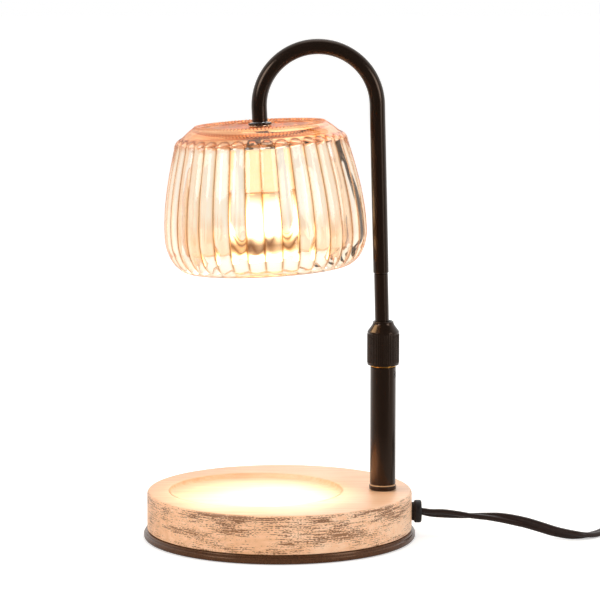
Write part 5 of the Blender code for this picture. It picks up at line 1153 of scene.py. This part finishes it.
def toothed(radii, heights, angles):
    """Rounded teeth round the washer's edge."""
    between = (0.5 - 0.5 * np.cos(angles * TEETH)) ** 2
    return radii - np.where(radii > 6.0, TOOTH_DEPTH * between, 0.0), heights


washer_outline = [(5.0, -0.35), (6.1, -0.35), (6.42, -0.55), (6.5, -0.9), (6.5, -1.3), (6.35, -1.6),
                  (6.1, -1.7), (5.0, -1.7)]
turned_piece("toothed_washer", washer_outline, black_finish, "arm", "black_metal", "head_flange",
             steps=TEETH * 12, place=at_head, reshape=toothed)

# %% [markdown]
# ## Lit reflector bulb
# The bulb is a halogen reflector lamp: a capsule that glows in a pressed glass bowl with a dark
# golden mirror coat, closed by a clear front lens. The neck above the coat lets the light out
# and looks almost white. The flare is faceted, which breaks the mirror into short bright and
# dark strips. The front lens glows. What melts the wax is the beam that the mirror throws down
# onto the seat, and a spot lamp that rides on the bulb draws that pool of light on the wood.

# %% Bulb finishes
GLOW = "FFE2B0"
NECK_GLOW = 8.0
NECK_GLOW_EDGE = 0.15
NECK_CONTRAST = 2.6
LENS_GLOW = 9.0
CAPSULE_GLOW = 20.0
FACET_MM = 2.4
CELL_DIP = 0.7

reflector_finish, tree, shader = new_finish(
    "gold_coated_reflector_glass", Roughness=0.16, IOR=1.5, Metallic=0.55)
height_tag = node(tree, "Attribute", attribute_name="glow").outputs["Fac"]
away = node(tree, "LayerWeight", {"Blend": 0.4}).outputs["Facing"]
lit = node(tree, "Math", {0: height_tag, 1: NECK_CONTRAST}, operation="POWER")
fall = node(tree, "MapRange", {"Value": away, "To Min": NECK_GLOW,
                               "To Max": NECK_GLOW * NECK_GLOW_EDGE})
wire(tree, shader, {
    "Base Color": node(tree, "ValToRGB", {"Fac": height_tag},
                       ((0.0, "8A5A1E"), (0.45, "C98F3C"), (0.8, "F6DDB0"))),
    "Emission Color": node(tree, "ValToRGB", {"Fac": away}, ((0.2, "FFF0CE"), (0.8, "FFC877"))),
    "Emission Strength": node(tree, "Math", {0: lit, 1: fall}, operation="MULTIPLY")})


def glowing(name, strength):
    """Clear glass with a lamp behind it, whose even glow hides what is inside."""
    made, tree, shader = new_finish(name, Base_Color="FFF3DE", Roughness=0.12, IOR=1.5,
                                    Emission_Color=GLOW)
    where = node(tree, "TexCoord").outputs["Object"]
    cells = node(tree, "TexVoronoi", {"Vector": where, "Scale": 1000 / FACET_MM})
    wire(tree, shader, {"Emission Strength": node(tree, "MapRange", {
        "Value": cells, "To Min": strength, "To Max": strength * CELL_DIP})})
    return made


lens_finish = glowing("lit_front_lens", LENS_GLOW)
capsule_finish = glowing("lit_quartz_capsule", CAPSULE_GLOW)
print("glow of neck, lens and capsule:", NECK_GLOW, LENS_GLOW, CAPSULE_GLOW)

# %% Bulb
FACETS = 24
FACET_DEPTH = 0.45
FLARE_TOP, FLARE_END = -55.0, -74.0
MIRROR_TOP, MIRROR_END = -61, -73
GLOW_LEVELS = ((-76.4, 1.0), (-73.5, 0.80), (-71.0, 0.40), (-66.5, 0.32), (-63.5, 0.62),
               (-60.0, 1.00), (-53.0, 0.96), (-46.0, 0.66), (-41.0, 0.46), (-38.6, 0.32))


def facets(radii, heights, angles):
    """Flat strips round the flare, which the neck and the rim don't have."""
    on_flare = ease((FLARE_TOP - heights) / 2.0) * ease((heights - FLARE_END) / 1.5)
    wave = 1 - np.abs(np.sin(angles * FACETS / 2))
    return radii - FACET_DEPTH * wave * on_flare, heights


bulb_outline = [(9.3, -38.6), *bend((10.7, -40.0), 1.4, 90, 0, 5), (12.1, -43.0), (12.1, -47.0),
                (12.1, -51.0), (12.15, -54.5), (12.6, -56.2)]
bulb_outline += [(12.1 + 12.9 * out, -55.6 - 17.8 * down) for out, down in (
    (0.10, 0.12), (0.19, 0.21), (0.28, 0.30), (0.45, 0.48), (0.62, 0.66), (0.78, 0.80),
    (0.92, 0.93), (0.99, 0.985))]
bulb_outline += [(25.0, -73.6), (25.0, -76.0), (24.7, -76.4), (23.9, -76.4), (23.8, -74.4)]
bulb_outline += [(22.0, -73.2), (18.6, -67.3), (14.2, -60.9), (10.9, -55.6), (9.3, -46.0)]
bulb_mesh = skin(lathe_rings(bulb_outline, FACETS * 8, facets), wrap=True, place=at_head)
heights = np.repeat([height for _, height in bulb_outline], FACETS * 8)
angles = np.tile(np.linspace(0, 2 * math.pi, FACETS * 8, endpoint=False), len(bulb_outline))
glow_tag = np.interp(heights, *zip(*GLOW_LEVELS))
strips = 0.55 + 0.75 * np.abs(np.sin(angles * FACETS / 2))
on_mirror = (heights < MIRROR_TOP) & (heights > MIRROR_END)
tag(bulb_mesh, "glow", np.where(on_mirror, np.minimum(glow_tag * strips, 1), glow_tag))
show("faceted_reflector", bulb_mesh, reflector_finish, "bulb", "reflector", "bulb_reflector")
print("facets on the flare:", FACETS)

# %% Beam of the bulb
BEAM_POWER = 3.0
BEAM_COLOUR = "FFF1E0"
BEAM_ANGLE = math.radians(54)
BEAM_SOFTNESS = 18.0
BEAM_HEIGHT = -79.0
BEAM_AIM = Vector((-13.0, -16.0, 24.0)) * MM

beam_data = bpy.data.lights.new("bulb_beam", "SPOT")
beam_data.energy = BEAM_POWER
beam_data.color = linear(BEAM_COLOUR)[:3]
beam_data.spot_size = BEAM_ANGLE
beam_data.spot_blend = 1.0
beam_data.shadow_soft_size = BEAM_SOFTNESS * MM
beam = bpy.data.objects.new("bulb_beam", beam_data)
beam.location = at_head @ (Vector((0, 0, BEAM_HEIGHT)) * MM)
beam.rotation_euler = (BEAM_AIM - beam.location).to_track_quat("-Z", "Y").to_euler()
scene.collection.objects.link(beam)
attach(beam, "bulb")
print("beam:", BEAM_POWER, "W in a cone of", round(math.degrees(BEAM_ANGLE)), "degrees")

# %% [markdown]
# ## In-line dimmer
# The switch on the cord is a two-part nylon shell with a textured face, closed round the cord's
# two ends, which leave through soft ribbed boots. A notched dial on top sets the brightness. Its
# pointer is a moulded groove. The shells are rounded slabs, built from rounded-rectangle rings
# that shrink towards the edges, so that light runs along every edge. The texture comes from the
# spark-eroded mould and makes the black look dull and even. It is about 0.1 mm in real life, and
# is drawn at 0.8 mm so that it shows.

# %% Plastic finish
SPARK_MM = 0.8

plastic_finish, tree, shader = new_finish(
    "spark_eroded_black_nylon", Base_Color="1D1918", Roughness=0.46, IOR=1.53,
    Specular_IOR_Level=0.25)
where = node(tree, "TexCoord").outputs["Object"]
spark = node(tree, "TexNoise", {"Vector": where, "Scale": 1000 / SPARK_MM, "Detail": 3.0})
lay_in(tree, shader, spark, ((0.3, "171413"), (0.7, "26211F")), (0.05, 0.6), (0.38, 0.54))
print("spark texture", SPARK_MM, "mm")

# %% Dimmer shells and boots
SWITCH_WIDTH = 24.0
SWITCH_CORNER = 3.4
at_switch = (Matrix.Translation(Vector((*SWITCH_PLACE, 0)) * MM)
             @ Matrix.Rotation(SWITCH_YAW, 4, "Z"))


def slab_ring(half_x, half_y, corner, height):
    """A rounded rectangle of points at one height, in metres."""
    made = []
    for quarter, (sign_x, sign_y) in enumerate(((1, 1), (-1, 1), (-1, -1), (1, -1))):
        for angle in np.radians(np.linspace(0, 90, 9) + 90 * quarter):
            x = sign_x * (half_x - corner) + corner * math.cos(angle)
            y = sign_y * (half_y - corner) + corner * math.sin(angle)
            made.append((x * MM, y * MM, height * MM))
    return made


def slab(half_x, half_y, corner, levels):
    """Rings of a slab from (height, inset) levels; a corner shrinks with its inset."""
    return [slab_ring(half_x - inset, half_y - inset, max(corner - inset, 0.4), height)
            for height, inset in levels]


half_x, half_y = SWITCH_LENGTH / 2, SWITCH_WIDTH / 2
tray_levels = [(0.3, 3.0), (0.3, 1.5), (0.5, 0.9), (1.0, 0.4), (1.8, 0.08), (2.6, 0.0), (7.9, 0.0),
               (8.15, 0.1), (8.3, 0.35), (8.3, 2.0)]
lid_levels = [(8.6, 2.0), (8.6, 0.35), (8.75, 0.1), (9.0, 0.0), (14.2, 0.0), (15.0, 0.12),
              (15.8, 0.5), (16.3, 1.1), (16.55, 1.9), (16.6, 3.2), (16.6, 6.0)]
for name, levels, inside in (("dimmer_tray", tray_levels, "switch_base"),
                             ("dimmer_lid", lid_levels, "switch_cover")):
    mesh = skin(slab(half_x, half_y, SWITCH_CORNER, levels), place=at_switch)
    show(name, mesh, plastic_finish, "base", "black_plastic", inside)

# %% Ribbed boots
BOOT_STEPS = 40


def boot_outline(length, root, tip, ribs=7):
    """A soft tapered boot with grooves round it, from its root at 0 out to its tip."""
    made = [(1.0, 0.0), (root, 0.0)]
    for k in range(ribs):
        for share, dip in ((0.15, 0.0), (0.65, 0.0), (0.78, 0.55), (0.95, 0.55)):
            along_share = (k + share) / ribs
            made.append((root + (tip - root) * along_share - dip, length * along_share * 0.97))
    return made + [(tip, length * 0.985), (tip - 0.4, length), (1.0, length)]


for k, side in enumerate((1, -1)):
    root = Vector((side * (half_x + PIECE_GAP), 0, CORD_HEIGHT_AT_SWITCH)) * MM
    place = at_switch @ Matrix.Translation(root) @ Matrix.Rotation(side * math.pi / 2, 4, "Y")
    turned_piece(f"ribbed_boot_{k + 1}", boot_outline(BOOT_LENGTH, 4.6, 3.6), plastic_finish,
                 "base", "black_plastic", f"switch_boot_{k + 1}", steps=BOOT_STEPS, place=place,
                 wrap=False)

# %% Dial
DIAL_BOTTOM = 16.9
DIAL_RADIUS = 10.0
DIAL_HEIGHT = 4.5
NOTCHES = 36
NOTCH_DEPTH = 0.4
POINTER_HALF_WIDTH = 0.62
POINTER_DEPTH = 0.4
at_dial = at_switch @ Matrix.Translation((0, 0, DIAL_BOTTOM * MM))


def notches(radii, heights, angles):
    """Grip flutes round the dial's edge."""
    wave = (0.5 - 0.5 * np.cos(angles * NOTCHES)) ** 2
    grip = (radii > 9.4) & (heights > 0.3) & (heights < 4.1)
    return radii - np.where(grip, NOTCH_DEPTH * wave, 0.0), heights


def pointer(radii, heights, angles):
    """The flutes, and a moulded groove in the top that points along the dial's own X."""
    radii, heights = notches(radii, heights, angles)
    across = np.abs(radii * np.sin(angles))
    marked = (np.cos(angles) > 0) & (across < POINTER_HALF_WIDTH) & (heights > 4.0)
    marked &= (radii > 4.8) & (radii < 9.3)
    return radii, heights - np.where(marked, POINTER_DEPTH, 0.0)


dial_outline = [
    (0.6, -5.0), (2.9, -5.0), (2.9, 0.0), (9.5, 0.0), (9.9, 0.25), (DIAL_RADIUS, 0.6),
    (DIAL_RADIUS, 3.2), (9.85, 3.8), (9.5, 4.25), (9.0, 4.45), (8.6, DIAL_HEIGHT)]
dial_outline += [(r, DIAL_HEIGHT) for r in (8.0, 7.2, 6.4, 5.6, 5.0, 4.7, 3.0, 0.6)]
turned_piece("notched_dial", dial_outline, plastic_finish, "dial", "black_plastic", "dimmer_dial",
             steps=NOTCHES * 6, place=at_dial, wrap=False, reshape=pointer)

# %% [markdown]
# ## Plug
# The cord ends in a moulded two-blade plug that lies flat on the table beside the coil. Its body
# is one moulding with a ribbed relief, in the same dull black as the dimmer. Grip ribs stand
# across its broad faces. The blades are stamped brass strip, with a round hole near each rounded
# tip. A hole through a strip is a ring too: the outline, and the hole's edge inside it.

# %% Plug body
PLUG_RELIEF = 20.0
PLUG_SEAT = 2.0
PLUG_LENGTH = 28.0
PLUG_HALF_WIDTH = 11.0
PLUG_HALF_HEIGHT = 6.7
TAIL_WIDTH_SHARE = 0.70
PLUG_ROUND = 2.4
GRIPS = 5
plug_yaw = math.atan2(last_way.y, last_way.x)
at_plug = Matrix.Translation(arrive) @ Matrix.Rotation(plug_yaw, 4, "Z")
stand_up = Matrix.Rotation(math.pi / 2, 4, "Y") @ Matrix.Rotation(math.pi / 2, 4, "Z")


def plug_levels():
    """Heights along the plug with the inset of its ends, and shallow grooves between the grips."""
    start = PLUG_RELIEF - PLUG_SEAT
    made = [(0.0, 2.4), (0.35, 1.3), (1.0, 0.6), (2.4, 0.0), (6.0, 0.0)]
    for k in range(GRIPS):
        foot = 7.0 + k * 2.8
        made += [(foot, 0.0), (foot + 0.35, 0.5), (foot + 1.15, 0.5), (foot + 1.5, 0.0)]
    made += [(25.6, 0.0), (27.0, 0.6), (27.65, 1.3), (28.0, 2.4)]
    return [(start + height, inset) for height, inset in made]


rings = []
for height, inset in plug_levels():
    share = (height - PLUG_RELIEF + PLUG_SEAT) / PLUG_LENGTH
    half_width = PLUG_HALF_WIDTH * (TAIL_WIDTH_SHARE + (1 - TAIL_WIDTH_SHARE) * share)
    rings.append(slab_ring(half_width - inset, PLUG_HALF_HEIGHT - inset,
                           max(PLUG_ROUND - inset, 0.5), height))
show("moulded_plug", skin(rings, place=at_plug @ stand_up), plastic_finish, "base",
     "black_plastic", "plug_body")

# %% Plug relief
turn_over = Matrix.Rotation(math.pi / 2, 4, "Y")
turned_piece("plug_relief", boot_outline(PLUG_RELIEF, 3.6, 5.2), plastic_finish, "base",
             "black_plastic", steps=BOOT_STEPS, place=at_plug @ turn_over, wrap=False)

# %% Blades
BLADE_SPACING = 12.7
BLADE_WIDTH = 6.3
BLADE_THICKNESS = 1.5
BLADE_LENGTH = 16.0
BLADE_SEAT = 4.0
BLADE_TIP = 1.3
BLADE_HOLE = 1.6
HOLE_FROM_TIP = 4.2


def blade_mesh(side):
    """A strip with a rounded tip and a round hole through it, in the plug's own frame."""
    start = PLUG_RELIEF - PLUG_SEAT + PLUG_LENGTH - BLADE_SEAT
    length = BLADE_SEAT + BLADE_LENGTH
    half = BLADE_WIDTH / 2
    hole_at = length - HOLE_FROM_TIP
    angles = np.linspace(0, 2 * math.pi, 48, endpoint=False)
    outline, hole = [], []
    for angle in angles:
        way_x, way_z = math.cos(angle), math.sin(angle)
        reach = min((HOLE_FROM_TIP if way_x > 0 else hole_at) / max(abs(way_x), 1e-6),
                    half / max(abs(way_z), 1e-6))
        x, z = hole_at + way_x * reach, way_z * reach
        over_x, over_z = x - (length - BLADE_TIP), abs(z) - (half - BLADE_TIP)
        if over_x > 0 and over_z > 0:
            pull = BLADE_TIP / max(math.hypot(over_x, over_z), BLADE_TIP)
            x = length - BLADE_TIP + over_x * pull
            z = math.copysign(half - BLADE_TIP + over_z * pull, z)
        outline.append((x, z))
        hole.append((hole_at + BLADE_HOLE * way_x, BLADE_HOLE * way_z))
    rings = []
    for edge, share in ((outline, -0.5), (outline, 0.5), (hole, 0.5), (hole, -0.5)):
        y = side * BLADE_SPACING / 2 + share * BLADE_THICKNESS
        rings.append([((start + x) * MM, y * MM, z * MM) for x, z in edge])
    return skin(rings, wrap=True, place=at_plug)


for k, side in enumerate((1, -1)):
    show(f"stamped_blade_{k + 1}", blade_mesh(side), brass_finish, "base", "brass",
         f"plug_blade_{k + 1}")

# %% [markdown]
# ## Twist tie
# The coil is held by a twist tie, a soft flat strip with a wire inside. It is wrapped tightly
# round the bundle, and its two ends are twisted together outside. The loop follows the convex
# outline of the turns where it crosses them. The twisted ends are the cord's own two-lobed
# section, made small and rolled as it goes.

# %% Twist tie
TIE_HALF_WIDTH = 1.6
TIE_THICKNESS = 0.3
TIE_CORNERS = ((26.15, 0.32), (40.40, 0.32), (40.40, 6.75), (36.75, 13.06), (26.15, 13.06))
TIE_BEND = 0.5
TIE_SCALE = 0.38
TIE_ENDS = (
    (38.8, 0.0, 10.0, 0), (40.9, 0.6, 11.0, 260), (42.2, 4.0, 10.6, 620), (42.4, 8.5, 9.4, 980))
TIE_STEP = 0.0003

outward = Vector((math.cos(TIE_TURN), math.sin(TIE_TURN), 0))
across = Vector((-outward.y, outward.x, 0))
tie_place = Vector((*COIL_CENTRE, 0))
loop = []
for k, corner in enumerate(TIE_CORNERS):
    before_way = (Vector(TIE_CORNERS[k - 1]) - Vector(corner)).normalized()
    after_way = (Vector(TIE_CORNERS[(k + 1) % len(TIE_CORNERS)]) - Vector(corner)).normalized()
    for share in (-1.0, -0.5, 0.0, 0.5, 1.0):
        way = before_way if share < 0 else after_way
        inset = TIE_BEND * (1 - abs(share)) * 0.35
        loop.append(Vector(corner) + way * TIE_BEND * abs(share) + (before_way + after_way) * inset)
rings = []
for k, point in enumerate(loop):
    way = (loop[(k + 1) % len(loop)] - loop[k - 1]).normalized()
    out = Vector((way.y, -way.x)) * TIE_THICKNESS
    ring = []
    for side, depth in ((-1, 0.3), (-1, 0.7), (-0.85, 1.0), (0.85, 1.0), (1, 0.7), (1, 0.3),
                        (0.85, 0.0), (-0.85, 0.0)):
        flat = point + out * depth
        ring.append((tie_place + outward * flat.x + across * side * TIE_HALF_WIDTH
                     + Vector((0, 0, flat.y))) * MM)
    rings.append(ring)
show("twist_tie_loop", skin(rings, wrap=True), plastic_finish, "base", "black_plastic")
tie_line = [(*((tie_place + outward * r + across * t + Vector((0, 0, z))) * MM), roll)
            for r, t, z, roll in TIE_ENDS]
show("twist_tie_ends", sweep(smooth_route(tie_line, TIE_STEP), section * TIE_SCALE), plastic_finish,
     "base", "black_plastic")

# %% [markdown]
# ## Moulded cord bushing
# Where the cord leaves the wood it passes a black nylon bushing: a short collar, a rounded
# flange and a dished face, which keeps the jacket off the wood's edge.

# %% Bushing
BUSHING_HEIGHT = 14.1
at_bushing = Matrix.Translation(Vector((0, 0, BUSHING_HEIGHT)) * MM) @ turn_over
bushing_outline = [(1.0, 71.0), (4.0, 71.0), (4.0, 74.9), (5.1, 75.1), (5.3, 75.4), (5.3, 76.3),
                   *bend((5.4, 77.4), 1.1, -80, 0, 5), *bend((5.2, 79.3), 1.3, 0, 90, 6),
                   (3.9, 80.6), (3.5, 80.4), (3.3, 79.9), (1.0, 79.8)]
turned_piece("moulded_bushing", bushing_outline, plastic_finish, "base", "black_plastic",
             "cord_bushing", steps=72, place=at_bushing, wrap=False)

# %% [markdown]
# ## The plain small parts
# Screws, nuts, washers, the collet, the inner leads and the bulb's own inner parts keep the
# shapes they already have, since only their edges or nothing of them shows. Each gets the real
# material it is made of: zinc-plated steel, brass, nylon, silicone, steatite or glass.

# %% Finishes for the small parts
def mottled(name, dark, light, roughness, size_mm, **values):
    """A plain moulded or laminated material with a fine mottle in its colour and gloss."""
    made, tree, shader = new_finish(name, Roughness=roughness, **values)
    where = node(tree, "TexCoord").outputs["Object"]
    noise = node(tree, "TexNoise", {"Vector": where, "Scale": 1000 / size_mm, "Detail": 3.0})
    lay_in(tree, shader, noise, ((0.35, dark), (0.65, light)), (0.03, 0.4),
           (roughness - 0.05, roughness + 0.07))
    return made


FINISH_OF_SLOT = {
    "steel": steel_finish, "brass": brass_finish, "ceramic": ceramic_finish,
    "black_metal": black_finish, "black_plastic": plastic_finish, "cord_vinyl": cord_finish,
    "nylon": mottled("moulded_natural_nylon", "CFC8BA", "E2DCCF", 0.42, 1.5, IOR=1.53),
    "silicone": mottled("moulded_clear_silicone", "C9C4BC", "DEDAD3", 0.55, 1.2, IOR=1.41),
    "board": mottled("green_glass_epoxy_board", "1F4A2C", "2D6340", 0.35, 0.9, IOR=1.55),
}
print("plain finishes:", ", ".join(FINISH_OF_SLOT))

# %% Small parts
slot_of = {part["node"]: part["material_slot"] for part in frame["record"]["subparts"]}
dressed = {"bulb_lens": lens_finish, "bulb_capsule": capsule_finish, "grub_screw": black_finish}
kept = []
for name, thing in frame["nodes"].items():
    if slot_of[name] not in FINISH_OF_SLOT and name not in dressed:
        continue
    thing.data.materials.clear()
    thing.data.materials.append(dressed.get(name, FINISH_OF_SLOT.get(slot_of[name])))
    kept.append(name)
print("small parts and nodes under the skins with a finish:", len(kept))

# %% [markdown]
# Both stretches of cord bend when something pulls on them. Here the pieces that the lead carries
# at its far end are gathered: the dimmer's shells, boots and dial, and the nodes inside it. The
# lead ends at the dimmer, and the stored cord ends at the plug.

# %% Cords
lead_pieces = ["dimmer_tray", "dimmer_lid", "ribbed_boot_1", "ribbed_boot_2", "notched_dial"]
lead_nodes = ["switch_screw_1", "switch_screw_2", "dimmer_board", "dimmer_body"]
carried = [bpy.data.objects[name] for name in lead_pieces]
carried += [frame["nodes"][name] for name in lead_nodes]
